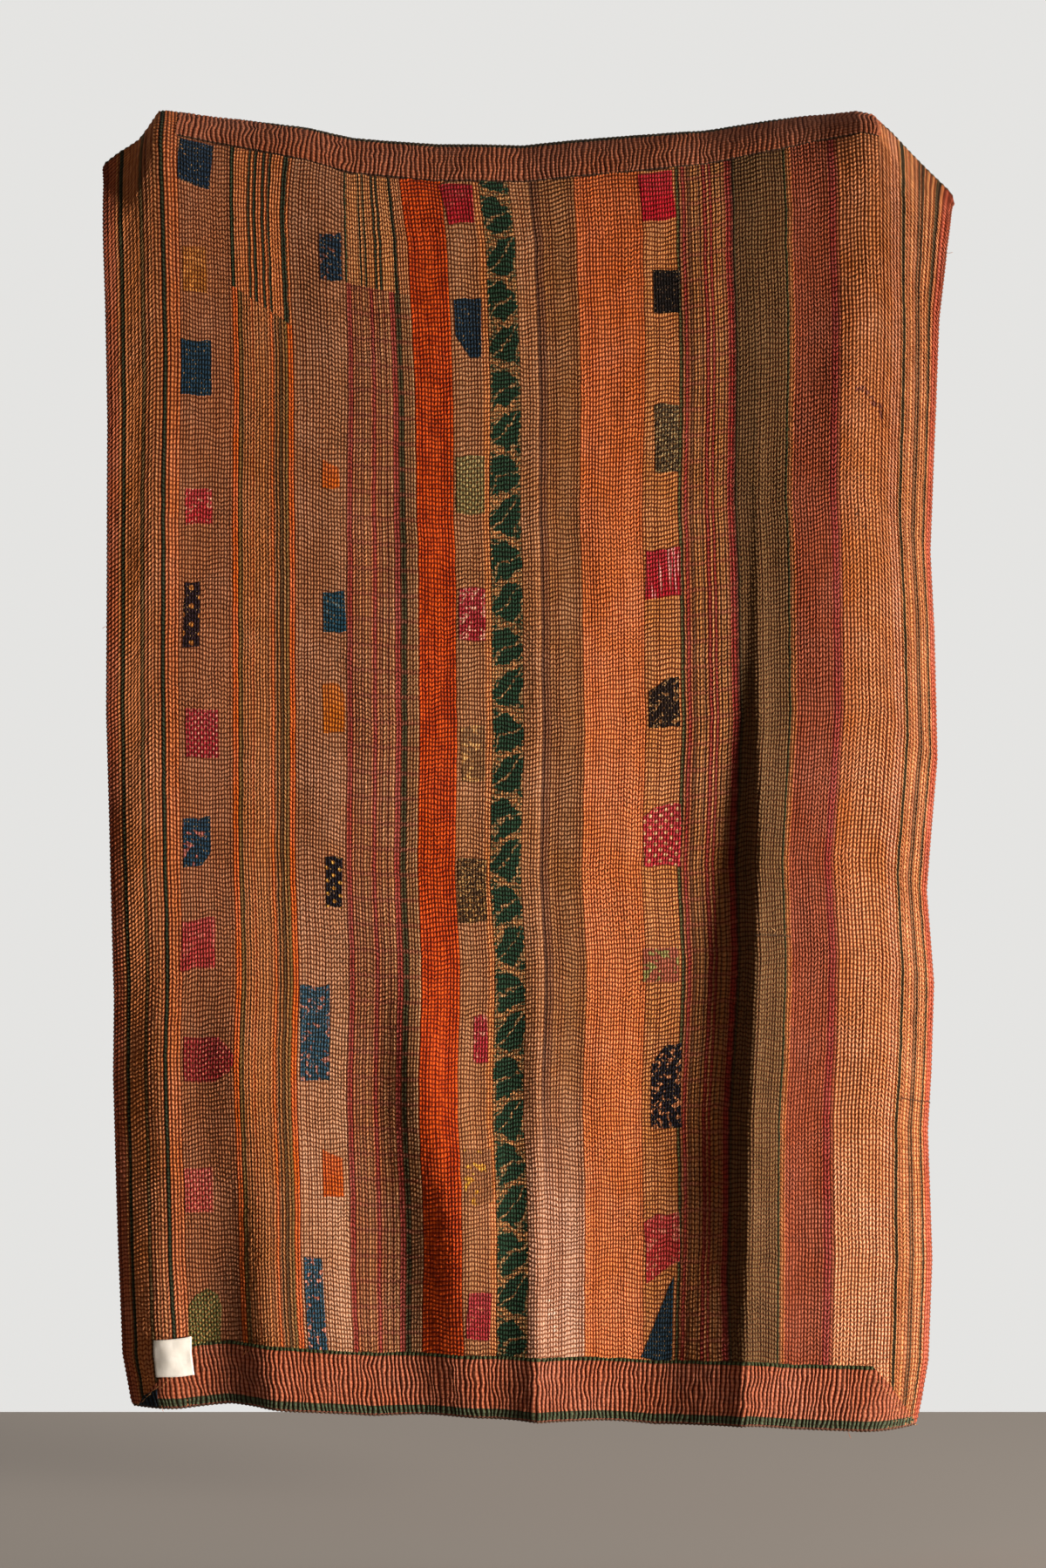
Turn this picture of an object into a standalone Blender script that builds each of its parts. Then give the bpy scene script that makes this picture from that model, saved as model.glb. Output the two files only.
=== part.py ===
"""A hand-stitched patchwork quilt, hung by two points of its top edge.

Metres, +Z up. The origin is the middle of the top edge. The face of the quilt
looks along -Y, and +X is to the right of someone who looks at it.
The cloth is measured by two flat distances: along, from its left edge, and
down, from its top edge.
"""
import bpy
import bmesh
import numpy as np

# Sizes of the flat cloth
FLAT_WIDTH = 1.430
FLAT_LENGTH = 2.150
BODY_THICKNESS = 0.0030
BAND_HEIGHT = 0.102
BAND_THICKNESS = 0.0010
LABEL_THICKNESS = 0.0006
PIECE_GAP = 0.0004

# Raised quilting, one rib to about this width of cloth
RIB_PITCH = 0.038
RIB_HEIGHT = 0.0022

# Grid of the folded sheet
BAND_ROWS = 6
MIDDLE_ROWS = 20
BORDER_RIBS = 3
WALK_STEPS = 720

# The top edge leans back over the grips and straightens over this length
LEAN_LENGTH = 0.170

# Long strips sewn side by side: name, flat width
STRIPS = (
    ("left border", 0.117),
    ("patched mauve", 0.090),
    ("striped panel", 0.103),
    ("patched brown", 0.086),
    ("red check", 0.121),
    ("orange red", 0.063),
    ("patched grey brown", 0.059),
    ("leaf print", 0.053),
    ("plain brown", 0.098),
    ("orange", 0.104),
    ("patched tan", 0.065),
    ("tan check", 0.091),
    ("olive", 0.090),
    ("terracotta", 0.083),
    ("orange tan", 0.090),
    ("right border", 0.117),
)

# Top edge as it hangs: place across, height, lean from upright in degrees
TOP_EDGE = (
    (-0.708, -0.042, 25),
    (-0.683, -0.016, 38),
    (-0.653, 0.010, 55),
    (-0.632, 0.044, 72),
    (-0.618, 0.061, 80),
    (-0.479, 0.048, 70),
    (-0.365, 0.031, 62),
    (-0.289, 0.013, 58),
    (-0.149, 0.002, 55),
    (0.000, 0.000, 55),
    (0.083, 0.009, 55),
    (0.223, 0.020, 58),
    (0.308, 0.027, 61),
    (0.430, 0.047, 67),
    (0.490, 0.055, 73),
    (0.567, 0.059, 80),
    (0.594, 0.053, 80),
    (0.624, 0.024, 60),
    (0.725, -0.086, 30),
    (0.730, -0.103, 25),
)

# Hem as it hangs: place across, height
HEM = (
    (-0.656, -2.130),
    (-0.569, -2.128),
    (-0.486, -2.120),
    (-0.440, -2.122),
    (-0.386, -2.127),
    (-0.250, -2.140),
    (-0.146, -2.138),
    (0.020, -2.140),
    (0.220, -2.155),
    (0.370, -2.147),
    (0.453, -2.161),
    (0.567, -2.168),
    (0.663, -2.170),
)

# Side edges: share of the way down, place across
LEFT_EDGE = (
    (0.00, -0.708),
    (0.02, -0.704),
    (0.12, -0.698),
    (0.22, -0.694),
    (0.45, -0.697),
    (0.59, -0.690),
    (0.68, -0.685),
    (0.74, -0.687),
    (0.87, -0.679),
    (0.96, -0.672),
    (1.00, -0.656),
)
RIGHT_EDGE = (
    (0.00, 0.730),
    (0.02, 0.722),
    (0.06, 0.711),
    (0.12, 0.700),
    (0.19, 0.697),
    (0.31, 0.688),
    (0.37, 0.695),
    (0.47, 0.700),
    (0.53, 0.690),
    (0.58, 0.682),
    (0.65, 0.694),
    (0.72, 0.690),
    (0.77, 0.684),
    (0.87, 0.691),
    (0.95, 0.685),
    (0.98, 0.674),
    (1.00, 0.665),
)

# Folds: name, roundness of the crest, and a section at each named height.
# A section: share of the way down, place across, depth, reach to left and right
FOLDS = (
    ("left grip ridge", 0.020, (
        (0.00, -0.602, 0.020, 0.060, 0.090),
        (0.20, -0.600, 0.008, 0.070, 0.090),
        (0.55, -0.598, 0.003, 0.080, 0.090),
        (1.00, -0.588, 0.012, 0.080, 0.080),
    )),
    ("left hem swell", 0.030, (
        (0.55, -0.480, 0.000, 0.050, 0.100),
        (0.72, -0.465, 0.014, 0.180, 0.200),
        (0.87, -0.425, 0.025, 0.160, 0.230),
        (1.00, -0.400, 0.034, 0.095, 0.240),
    )),
    ("middle swell", 0.035, (
        (0.60, -0.190, 0.000, 0.060, 0.060),
        (0.72, -0.170, 0.018, 0.095, 0.120),
        (0.84, -0.115, 0.034, 0.125, 0.160),
        (1.00, -0.065, 0.030, 0.125, 0.200),
    )),
    ("middle ridge", 0.006, (
        (0.15, 0.018, 0.000, 0.030, 0.030),
        (0.25, 0.020, 0.003, 0.030, 0.030),
        (0.60, 0.022, 0.004, 0.035, 0.030),
        (0.78, 0.022, 0.008, 0.050, 0.080),
        (0.90, 0.024, 0.026, 0.080, 0.160),
        (1.00, 0.024, 0.036, 0.085, 0.170),
    )),
    ("deep fold", 0.006, (
        (0.20, 0.394, 0.000, 0.018, 0.018),
        (0.34, 0.394, 0.006, 0.018, 0.022),
        (0.43, 0.394, 0.012, 0.026, 0.034),
        (0.57, 0.393, 0.022, 0.046, 0.062),
        (0.67, 0.387, 0.031, 0.078, 0.084),
        (0.83, 0.374, 0.046, 0.150, 0.110),
        (1.00, 0.363, 0.048, 0.200, 0.110),
    )),
    ("right grip ridge", 0.030, (
        (0.00, 0.592, 0.020, 0.090, 0.090),
        (0.12, 0.583, 0.015, 0.080, 0.100),
        (0.30, 0.532, 0.011, 0.070, 0.110),
        (0.47, 0.474, 0.007, 0.070, 0.120),
        (0.62, 0.450, 0.000, 0.070, 0.120),
    )),
    ("right swell", 0.040, (
        (0.42, 0.445, 0.000, 0.060, 0.200),
        (0.56, 0.440, 0.013, 0.060, 0.210),
        (1.00, 0.435, 0.014, 0.060, 0.210),
    )),
)

# Borders that roll back at the side edges: reach and depth at the top and hem
LEFT_ROLL = (0.085, 0.004, 0.020)
RIGHT_ROLL = (0.105, 0.012, 0.046)

# Slow unevenness of old cloth: waves across, waves down, start angles, height
RIPPLES = (
    (5.0, 3.5, 0.4, 1.1, 0.0014),
    (9.0, 5.0, 1.9, 0.2, 0.0010),
    (13.0, 2.5, 2.7, 2.4, 0.0008),
)

# Small pieces: left, right, top and bottom as flat distances
LABEL_PLACE = (0.060, 0.126, FLAT_LENGTH - 0.118, FLAT_LENGTH - 0.055)
PATCH_PLACE = (0.018, 0.048, FLAT_LENGTH - 0.038, FLAT_LENGTH - 0.003)


def column(table, index):
    """One named column of a short table."""
    return np.array([row[index] for row in table])


def ease(share):
    """A smooth step from 0 to 1."""
    share = np.clip(share, 0.0, 1.0)
    return share * share * (3.0 - 2.0 * share)


def fold_depth(across, share):
    """How far the folds stand towards the viewer at one height."""
    depth = np.zeros_like(across)
    for _, rounding, sections in FOLDS:
        heights = column(sections, 0)
        if share < heights[0] or share > heights[-1]:
            continue
        centre, height, left, right = [
            np.interp(share, heights, column(sections, index)) for index in range(1, 5)
        ]
        offset = across - centre
        reach = np.where(offset < 0.0, left, right)
        run = np.sqrt(offset ** 2 + rounding ** 2) - rounding
        depth += height * np.clip(1.0 - run / reach, 0.0, None) ** 2
    return depth


def roll_depth(across, share, left, right):
    """How far the side borders have rolled back."""
    left_reach, left_top, left_hem = LEFT_ROLL
    right_reach, right_top, right_hem = RIGHT_ROLL
    near_left = np.clip(1.0 - (across - left) / left_reach, 0.0, 1.0) ** 2
    near_right = np.clip(1.0 - (right - across) / right_reach, 0.0, 1.0) ** 2
    growth = ease(share / 0.25)
    left_back = left_top + (left_hem - left_top) * ease(share)
    right_back = right_top + (right_hem - right_top) * growth
    return near_left * left_back + near_right * right_back


def ripple_depth(across, share, left, right):
    """The slow unevenness of the cloth."""
    place = (across - left) / (right - left)
    depth = np.zeros_like(across)
    for waves_across, waves_down, angle_across, angle_down, height in RIPPLES:
        beside = np.sin(2.0 * np.pi * waves_across * place + angle_across)
        below = np.sin(2.0 * np.pi * waves_down * share + angle_down)
        depth += height * beside * below
    return depth


def lean_at(across, down):
    """How far back and how far below the top edge the leaning top lies."""
    lean = np.radians(np.interp(across, column(TOP_EDGE, 0), column(TOP_EDGE, 2)))
    left = lean * max(1.0 - down / LEAN_LENGTH, 0.0)
    back = LEAN_LENGTH / lean * (1.0 - np.cos(left))
    drop = LEAN_LENGTH / lean * (np.sin(lean) - np.sin(left))
    return back, drop + max(down - LEAN_LENGTH, 0.0)


def cloth_row(down, along):
    """Points of the smooth face at one distance down and many along."""
    share = down / FLAT_LENGTH
    left = np.interp(share, column(LEFT_EDGE, 0), column(LEFT_EDGE, 1))
    right = np.interp(share, column(RIGHT_EDGE, 0), column(RIGHT_EDGE, 1))
    across = np.linspace(left, right, WALK_STEPS)
    depth = fold_depth(across, share)
    depth -= roll_depth(across, share, left, right)
    depth += ripple_depth(across, share, left, right)
    steps = np.hypot(np.diff(across), np.diff(depth))
    walked = np.concatenate(([0.0], np.cumsum(steps)))
    place = np.asarray(along) / FLAT_WIDTH * walked[-1]
    x = np.interp(place, walked, across)
    back, drop = lean_at(x, down)
    full_drop = lean_at(x, FLAT_LENGTH)[1]
    top = np.interp(x, column(TOP_EDGE, 0), column(TOP_EDGE, 1))
    hem = np.interp(x, column(HEM, 0), column(HEM, 1))
    y = back - np.interp(place, walked, depth)
    z = top - drop / full_drop * (top - hem)
    return np.stack((x, y, z), axis=1)


def strip_columns():
    """Flat places of the grid's columns, and the rib height on each."""
    places = [0.0]
    heights = [0.0]
    seam = 0.0
    stretch = FLAT_WIDTH / sum(width for _, width in STRIPS)
    for _, width in STRIPS:
        width *= stretch
        parts = 2 * max(round(width / RIB_PITCH), 1)
        for part in range(1, parts + 1):
            places.append(seam + width * part / parts)
            heights.append(RIB_HEIGHT * (part % 2))
        seam += width
    return np.array(places), np.array(heights)


def grid_rows():
    """Flat distances down of the grid's rows, finer over the two bands."""
    top = np.linspace(0.0, BAND_HEIGHT, BAND_ROWS + 1)
    middle = np.linspace(BAND_HEIGHT, FLAT_LENGTH - BAND_HEIGHT, MIDDLE_ROWS + 1)
    hem = np.linspace(FLAT_LENGTH - BAND_HEIGHT, FLAT_LENGTH, BAND_ROWS + 1)
    return np.concatenate((top[:-1], middle, hem[1:]))


def cloth_grid():
    """Face points with their ribs, and outward directions, row by row."""
    places, heights = strip_columns()
    rows = grid_rows()
    points = np.stack([cloth_row(down, places) for down in rows])
    along = np.gradient(points, axis=1)
    downward = np.gradient(points, axis=0)
    outward = np.cross(downward, along)
    outward *= np.sign(-outward[..., 1:2])
    outward /= np.linalg.norm(outward, axis=2, keepdims=True)
    middle = np.array([0.0, cloth_row(0.0, [FLAT_WIDTH / 2])[0][1], 0.0])
    points = points - middle + outward * heights[None, :, None]
    return points, outward


def fabric(name, colour, roughness):
    """A matt cotton."""
    material = bpy.data.materials.new(name)
    material.use_nodes = True
    shader = material.node_tree.nodes["Principled BSDF"]
    shader.inputs["Base Color"].default_value = (*colour, 1.0)
    shader.inputs["Roughness"].default_value = roughness
    shader.inputs["Metallic"].default_value = 0.0
    return material


def add_sheet(name, points, cells, thickness, forward, material, collection):
    """A closed sheet from face points and cells, thickened by Solidify."""
    mesh = bpy.data.meshes.new(name)
    shape = bmesh.new()
    used = {}
    for cell in cells:
        corners = []
        for key in cell:
            if key not in used:
                used[key] = shape.verts.new(points[key])
            corners.append(used[key])
        shape.faces.new(corners)
    shape.normal_update()
    if sum(face.normal.y for face in shape.faces) > 0.0:
        bmesh.ops.reverse_faces(shape, faces=shape.faces)
    shape.to_mesh(mesh)
    shape.free()
    mesh.shade_smooth()
    mesh.materials.append(material)
    sheet = bpy.data.objects.new(name, mesh)
    collection.objects.link(sheet)
    solid = sheet.modifiers.new("thickness", "SOLIDIFY")
    solid.thickness = thickness
    solid.offset = 1.0 if forward else -1.0
    solid.use_even_offset = False
    return sheet


def square_cells(first_row, last_row, first_column, last_column):
    """Whole cells of the grid between two rows and two columns."""
    cells = []
    for row in range(first_row, last_row):
        for place in range(first_column, last_column):
            cells.append(((row, place), (row, place + 1), (row + 1, place + 1), (row + 1, place)))
    return cells


def mitred_cells(seam_row, hem_row, border, last_column):
    """Cells of the hem band, one column longer at each end with each row."""
    cells = []
    for row in range(seam_row, hem_row):
        first = border - (row - seam_row)
        last = last_column - first
        cells += square_cells(row, row + 1, first, last)
        cells.append(((row, first), (row + 1, first), (row + 1, first - 1)))
        cells.append(((row, last), (row + 1, last + 1), (row + 1, last)))
    return cells


def lines_between(low, high, lines):
    """The two ends of a small piece and the grid lines between them."""
    inside = [line for line in lines if low + 0.001 < line < high - 0.001]
    return [low] + inside + [high]


def on_grid(grid, rows, places, down, along):
    """A value of the grid read between its four nearest points."""
    row = min(int(np.searchsorted(rows, down, side="right")) - 1, len(rows) - 2)
    place = min(int(np.searchsorted(places, along, side="right")) - 1, len(places) - 2)
    below = (down - rows[row]) / (rows[row + 1] - rows[row])
    beside = (along - places[place]) / (places[place + 1] - places[place])
    upper = grid[row, place] * (1.0 - beside) + grid[row, place + 1] * beside
    lower = grid[row + 1, place] * (1.0 - beside) + grid[row + 1, place + 1] * beside
    return upper * (1.0 - below) + lower * below


def add_small_piece(name, place, points, outward, material, collection):
    """A small rectangle of cloth that lies on the bands and the body."""
    left, right, top, bottom = place
    rows = grid_rows()
    places = strip_columns()[0]
    lift = 2.0 * PIECE_GAP + BAND_THICKNESS
    own_rows = lines_between(top, bottom, rows)
    own_places = lines_between(left, right, places)
    own = {}
    for row, down in enumerate(own_rows):
        for place_index, along in enumerate(own_places):
            base = on_grid(points, rows, places, down, along)
            away = on_grid(outward, rows, places, down, along)
            own[(row, place_index)] = base + away * lift
    cells = square_cells(0, len(own_rows) - 1, 0, len(own_places) - 1)
    return add_sheet(name, own, cells, LABEL_THICKNESS, True, material, collection)


def build():
    """The quilt and the pieces sewn to it."""
    for thing in list(bpy.data.objects):
        bpy.data.objects.remove(thing, do_unlink=True)
    collection = bpy.data.collections.new("Quilt")
    bpy.context.scene.collection.children.link(collection)

    worn_cotton = fabric("worn brown cotton", (0.22, 0.095, 0.05), 0.9)
    dark_terracotta = fabric("dark terracotta cotton", (0.15, 0.045, 0.025), 0.9)
    terracotta = fabric("terracotta cotton", (0.35, 0.105, 0.055), 0.9)
    white_tape = fabric("white cotton tape", (0.72, 0.68, 0.60), 0.85)
    navy_cotton = fabric("navy cotton", (0.012, 0.022, 0.035), 0.9)

    points, outward = cloth_grid()
    row_count, column_count = points.shape[0] - 1, points.shape[1] - 1
    border = 2 * BORDER_RIBS
    hem_seam = row_count - BAND_ROWS
    band_points = points + outward * PIECE_GAP

    body = square_cells(0, row_count, 0, column_count)
    add_sheet("quilt_body", points, body, BODY_THICKNESS, False, worn_cotton, collection)
    top_band = square_cells(0, BAND_ROWS, border, column_count - border)
    add_sheet("top_band", band_points, top_band, BAND_THICKNESS, True, dark_terracotta, collection)
    hem_band = mitred_cells(hem_seam, row_count, border, column_count)
    add_sheet("bottom_band", band_points, hem_band, BAND_THICKNESS, True, terracotta, collection)
    add_small_piece("label", LABEL_PLACE, points, outward, white_tape, collection)
    add_small_piece("corner_patch", PATCH_PLACE, points, outward, navy_cotton, collection)


build()
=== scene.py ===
"""The looks of a hand-stitched patchwork quilt that hangs by its top edge.

Metres, +Z up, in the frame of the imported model: the origin is the middle of
the top edge, the face looks along -Y, and +X is to the viewer's right.
The cloth is measured by two flat distances: along, from its left edge, and
down, from its top edge. Every piece lies on the same folded surface.
"""

import math
from collections import namedtuple

import bmesh
import bpy
import numpy as np
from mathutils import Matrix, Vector


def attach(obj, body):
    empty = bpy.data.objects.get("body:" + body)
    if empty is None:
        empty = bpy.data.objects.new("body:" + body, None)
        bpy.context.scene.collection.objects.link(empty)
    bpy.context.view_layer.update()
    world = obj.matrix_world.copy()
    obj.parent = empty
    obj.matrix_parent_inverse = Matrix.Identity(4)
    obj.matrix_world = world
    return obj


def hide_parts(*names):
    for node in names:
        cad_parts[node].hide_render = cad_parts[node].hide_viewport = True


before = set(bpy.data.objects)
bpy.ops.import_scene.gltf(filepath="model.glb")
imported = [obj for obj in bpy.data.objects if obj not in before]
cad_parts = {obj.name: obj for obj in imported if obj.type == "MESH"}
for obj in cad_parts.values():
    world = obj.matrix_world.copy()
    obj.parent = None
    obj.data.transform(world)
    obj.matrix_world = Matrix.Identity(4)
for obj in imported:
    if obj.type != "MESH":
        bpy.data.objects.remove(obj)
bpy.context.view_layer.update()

# Sizes of the flat cloth
FLAT_WIDTH = 1.430
FLAT_LENGTH = 2.150
BODY_THICKNESS = 0.0030
BAND_HEIGHT = 0.102

# Running stitches: rows down the cloth, space between two rows, puff of the cloth between
STITCH_ROWS = 290
ROW_SPACE = FLAT_LENGTH / STITCH_ROWS
PUFF = 0.0017

# Unevenness of the stitches: least and most puff of one and how far that changes slowly,
# how far a stitch strays along, least and most filling of the groove beside it, how far
# that changes down the cloth and with the strip's upright share, and a seam's filling
PUFF_RANGE = (0.72, 1.18)
PUFF_DRIFT = 0.35
STRAY = 0.0006
FILLING = (0.15, 1.1)
FILLING_DRIFT = 0.22
UPRIGHT_DEPTH = 0.85
SEAM_FILLING = -0.25

# Filling of the grooves above and below a stitch, as a slope over the upright share
LEVEL_SLOPE = 0.55
LEVEL_BASE = -0.10

# A band presses the face flat under this share of its height: the share, the length over
# which the face rises again, and the puff that is left under the band
COVERED = 0.94
COVER_EDGE = 0.006
COVERED_PUFF = 0.15

# The two bands: space between two ridges, their heights, rows of stitches, how far a band
# stands over the face, how far a ridge wanders, and where its ridges flatten at both ends
RIDGE_SPACE = 0.0076
TOP_RIDGE_HEIGHT = 0.0019
HEM_RIDGE_HEIGHT = 0.0025
BAND_STITCH_ROWS = 15
BAND_LIFT = 0.0012
RIDGE_WANDER = 0.0030
BAND_ENDS = (0.118, 1.318)
FLATTENING = 0.03
FLATTENED = 0.35

# Where two ridges run into one: height of the groove between them, the noise above which
# they do, and over how much more of it the groove fills. Then how uneven the heights are
JOINED_HEIGHT = 0.75
JOINED_FROM = 0.40
JOINED_OVER = 0.25
RIDGE_UNEVEN = 0.22

# Grid of a band: steps of one ridge and of one stitch, and the share of height at each
RIDGE_STEPS = 4
RIDGE_PROFILE = (0.0, 0.72, 1.0, 0.72)
ROW_STEPS = 2
ROW_PROFILE = (0.70, 1.0)

# Sewing threads: rings along one stitch, corners of a ring, height over the cloth, rise of
# its middle, how far it may be moved to its place, and its unevenness in pixels and length
THREAD_STEPS = 5
THREAD_SIDES = 5
THREAD_LIFT = 0.0012
THREAD_RISE = 0.0012
THREAD_REACH = 0.0015
THREAD_STRAY = 0.6
THREAD_LENGTHS = (0.75, 1.2)

# Pieces sewn on: how far they stand over the cloth and how far their edge turns down
SCRAP_LIFT = 0.0006
SCRAP_TURN = 0.0008
BAND_TURN = 0.0012

# The label: rows and columns of its grid, thickness, mean height over the cloth, height of
# its waves and of the puckers at its sewn sides, stitches down a side
LABEL_GRID = (25, 23)
LABEL_THICKNESS = 0.0008
LABEL_LIFT = 0.0058
LABEL_WAVE = 0.0006
LABEL_PUCKER = 0.0004
LABEL_STITCHES = 11.0

# The back cloth's grid, and the rolled edges
BACK_ROWS = 200
BACK_COLUMNS = 190
BACK_STITCH = 0.0052
ROLL_RADIUS = 0.0027
ROLL_SIDES = 8

# Fine table of the folded surface
FINE_ROWS = 717
FINE_PLACES = 1101
WALK_STEPS = 1440

# The photograph: its middle, its scale in the hanging plane, and the viewer's place
PHOTO_WIDTH = 1200
PHOTO_HEIGHT = 1799
PIXEL = 0.001458
VIEW_HEIGHT = -1.088
VIEW_DISTANCE = 3.8
HANG_DEPTH = -0.075

# The top edge leans back over its two high points and straightens over this length
LEAN_LENGTH = 0.170

# Top edge as it hangs: place across, height, lean from upright in degrees
TOP_EDGE = (
    (-0.708, -0.042, 25), (-0.683, -0.016, 38), (-0.653, 0.010, 55), (-0.632, 0.044, 72),
    (-0.618, 0.061, 80), (-0.479, 0.048, 70), (-0.365, 0.031, 62), (-0.289, 0.013, 58),
    (-0.149, 0.002, 55), (0.000, 0.000, 55), (0.083, 0.009, 55), (0.223, 0.020, 58),
    (0.308, 0.027, 61), (0.430, 0.047, 67), (0.490, 0.055, 73), (0.567, 0.059, 80),
    (0.594, 0.053, 80), (0.624, 0.024, 60), (0.725, -0.086, 30), (0.730, -0.103, 25),
)

# Hem as it hangs: place across, height
HEM = (
    (-0.656, -2.130), (-0.569, -2.128), (-0.486, -2.120), (-0.440, -2.122), (-0.386, -2.127),
    (-0.250, -2.140), (-0.146, -2.138), (0.020, -2.140), (0.220, -2.155), (0.370, -2.147),
    (0.453, -2.161), (0.567, -2.168), (0.663, -2.170),
)

# Side edges: share of the way down, place across
LEFT_EDGE = (
    (0.00, -0.708), (0.02, -0.704), (0.12, -0.698), (0.22, -0.694), (0.45, -0.697),
    (0.59, -0.690), (0.68, -0.685), (0.74, -0.687), (0.87, -0.679), (0.96, -0.672),
    (1.00, -0.656),
)
RIGHT_EDGE = (
    (0.00, 0.730), (0.02, 0.722), (0.06, 0.711), (0.12, 0.700), (0.19, 0.697),
    (0.31, 0.688), (0.37, 0.695), (0.47, 0.700), (0.53, 0.690), (0.58, 0.682),
    (0.65, 0.694), (0.72, 0.690), (0.77, 0.684), (0.87, 0.691), (0.95, 0.685),
    (0.98, 0.674), (1.00, 0.665),
)

# Folds: name, roundness of the crest, and a section at each named height.
# A section: share of the way down, place across, depth, reach to left and right
FOLDS = (
    ("left shoulder ridge", 0.020, (
        (0.00, -0.602, 0.020, 0.060, 0.090),
        (0.20, -0.600, 0.008, 0.070, 0.090),
        (0.55, -0.598, 0.003, 0.080, 0.090),
        (1.00, -0.588, 0.012, 0.080, 0.080),
    )),
    ("left hem swell", 0.030, (
        (0.55, -0.480, 0.000, 0.050, 0.100),
        (0.72, -0.465, 0.019, 0.180, 0.190),
        (0.87, -0.425, 0.030, 0.160, 0.210),
        (1.00, -0.400, 0.034, 0.095, 0.240),
    )),
    ("middle swell", 0.035, (
        (0.60, -0.190, 0.000, 0.060, 0.060),
        (0.72, -0.170, 0.018, 0.095, 0.120),
        (0.84, -0.115, 0.034, 0.125, 0.160),
        (1.00, -0.065, 0.030, 0.125, 0.200),
    )),
    ("middle ridge", 0.006, (
        (0.15, 0.018, 0.000, 0.030, 0.030),
        (0.25, 0.020, 0.003, 0.030, 0.030),
        (0.60, 0.022, 0.004, 0.035, 0.030),
        (0.78, 0.022, 0.008, 0.050, 0.080),
        (0.90, 0.024, 0.026, 0.080, 0.160),
        (1.00, 0.024, 0.036, 0.085, 0.170),
    )),
    ("deep fold", 0.006, (
        (0.20, 0.394, 0.000, 0.018, 0.018),
        (0.34, 0.394, 0.003, 0.012, 0.022),
        (0.43, 0.394, 0.008, 0.020, 0.034),
        (0.57, 0.393, 0.022, 0.046, 0.062),
        (0.67, 0.387, 0.031, 0.078, 0.084),
        (0.83, 0.374, 0.046, 0.150, 0.110),
        (1.00, 0.363, 0.048, 0.200, 0.110),
    )),
    ("right shoulder ridge", 0.030, (
        (0.00, 0.592, 0.020, 0.090, 0.090),
        (0.12, 0.583, 0.013, 0.085, 0.100),
        (0.30, 0.532, 0.008, 0.080, 0.110),
        (0.47, 0.474, 0.005, 0.075, 0.120),
        (0.62, 0.450, 0.000, 0.070, 0.120),
    )),
    ("right swell", 0.040, (
        (0.42, 0.445, 0.000, 0.060, 0.200),
        (0.56, 0.440, 0.013, 0.060, 0.210),
        (1.00, 0.435, 0.014, 0.060, 0.210),
    )),
)

# Borders that roll back at the side edges: reach and depth at the top and hem
LEFT_ROLL = (0.085, 0.004, 0.020)
RIGHT_ROLL = (0.105, 0.012, 0.046)

# Slow unevenness of old cloth: waves across, waves down, start angles, height
RIPPLES = (
    (5.0, 3.5, 0.4, 1.1, 0.0014),
    (9.0, 5.0, 1.9, 0.2, 0.0010),
    (13.0, 2.5, 2.7, 2.4, 0.0008),
)

# Waves of the stitched rows: length across, length down, start angle, height. Then how
# far the rows rise from left to right, over what length they come level at the top and
# hem, how far a column drifts, and how many humps down and columns to a hump its drift has
ROW_WAVES = (
    (0.260, 0.90, 1.2, 0.0032),
    (0.083, 0.37, 0.4, 0.0012),
    (0.047, 0.23, 2.1, 0.0008),
)
ROW_RISE = 0.016
ROW_FADE = 0.060
COLUMN_DRIFT = 0.0014
DRIFT_HUMPS = ((110, 5), (64, 14))

# How far neighbouring stitches lean against each other, as a share of a row, and how that
# goes from column to column. It makes the herringbone of strips with deep upright grooves
STITCH_TILT = 0.85
TILT_TURNS = (-0.5, 0.0, 0.5, 0.0)

# Heights at which the seams were measured, as shares of the way down
SEAM_SHARES = (0.0, 0.032, 0.097, 0.330, 0.605, 0.885, 0.954, 1.0)

# Strips sewn side by side: name, stitches across, flat width in metres, how deep its
# upright grooves are next to its level ones, and its right seam as the viewer sees it
# at those heights, in millimetres from the middle
STRIPS = (
    ("left_border", 21, 0.121, 0.62, (-577, -577, -577, -576, -573, -565, -556, -553)),
    ("patched_mauve", 18, 0.090, 0.42, (-486, -487, -491, -486, -484, -475, -468, -466)),
    ("striped_panel", 21, 0.103, 0.78, (-379, -383, -394, -382, -380, -372, -365, -363)),
    ("patched_brown", 17, 0.086, 0.42, (-299, -299, -299, -296, -296, -291, -284, -282)),
    ("red_check", 24, 0.121, 0.52, (-214, -210, -194, -176, -175, -166, -169, -168)),
    ("orange_red", 12, 0.063, 0.40, (-144, -141, -128, -114, -112, -102, -99, -98)),
    ("patched_grey_brown", 12, 0.062, 0.30, (-82, -79, -63, -55, -54, -44, -45, -45)),
    ("leaf_print", 11, 0.053, 0.30, (-31, -28, -13, -2, -2, 9, 7, 6)),
    ("plain_brown", 20, 0.099, 0.36, (80, 82, 89, 96, 100, 103, 102, 101)),
    ("plain_orange", 21, 0.104, 0.55, (192, 194, 201, 200, 200, 200, 201, 201)),
    ("patched_tan", 13, 0.066, 0.22, (256, 257, 261, 265, 264, 262, 257, 256)),
    ("tan_check", 18, 0.093, 0.56, (345, 347, 351, 357, 358, 342, 345, 346)),
    ("olive", 19, 0.096, 0.58, (437, 440, 448, 450, 443, 434, 432, 431)),
    ("terracotta", 16, 0.083, 0.66, (519, 522, 528, 531, 522, 520, 515, 514)),
    ("orange_tan", 17, 0.092, 0.80, (624, 627, 630, 627, 624, 617, 611, 608)),
    ("right_border", 13, 0.090, 0.75, None),
)


def column(table, index):
    """One named column of a short table."""
    return np.array([row[index] for row in table])


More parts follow.
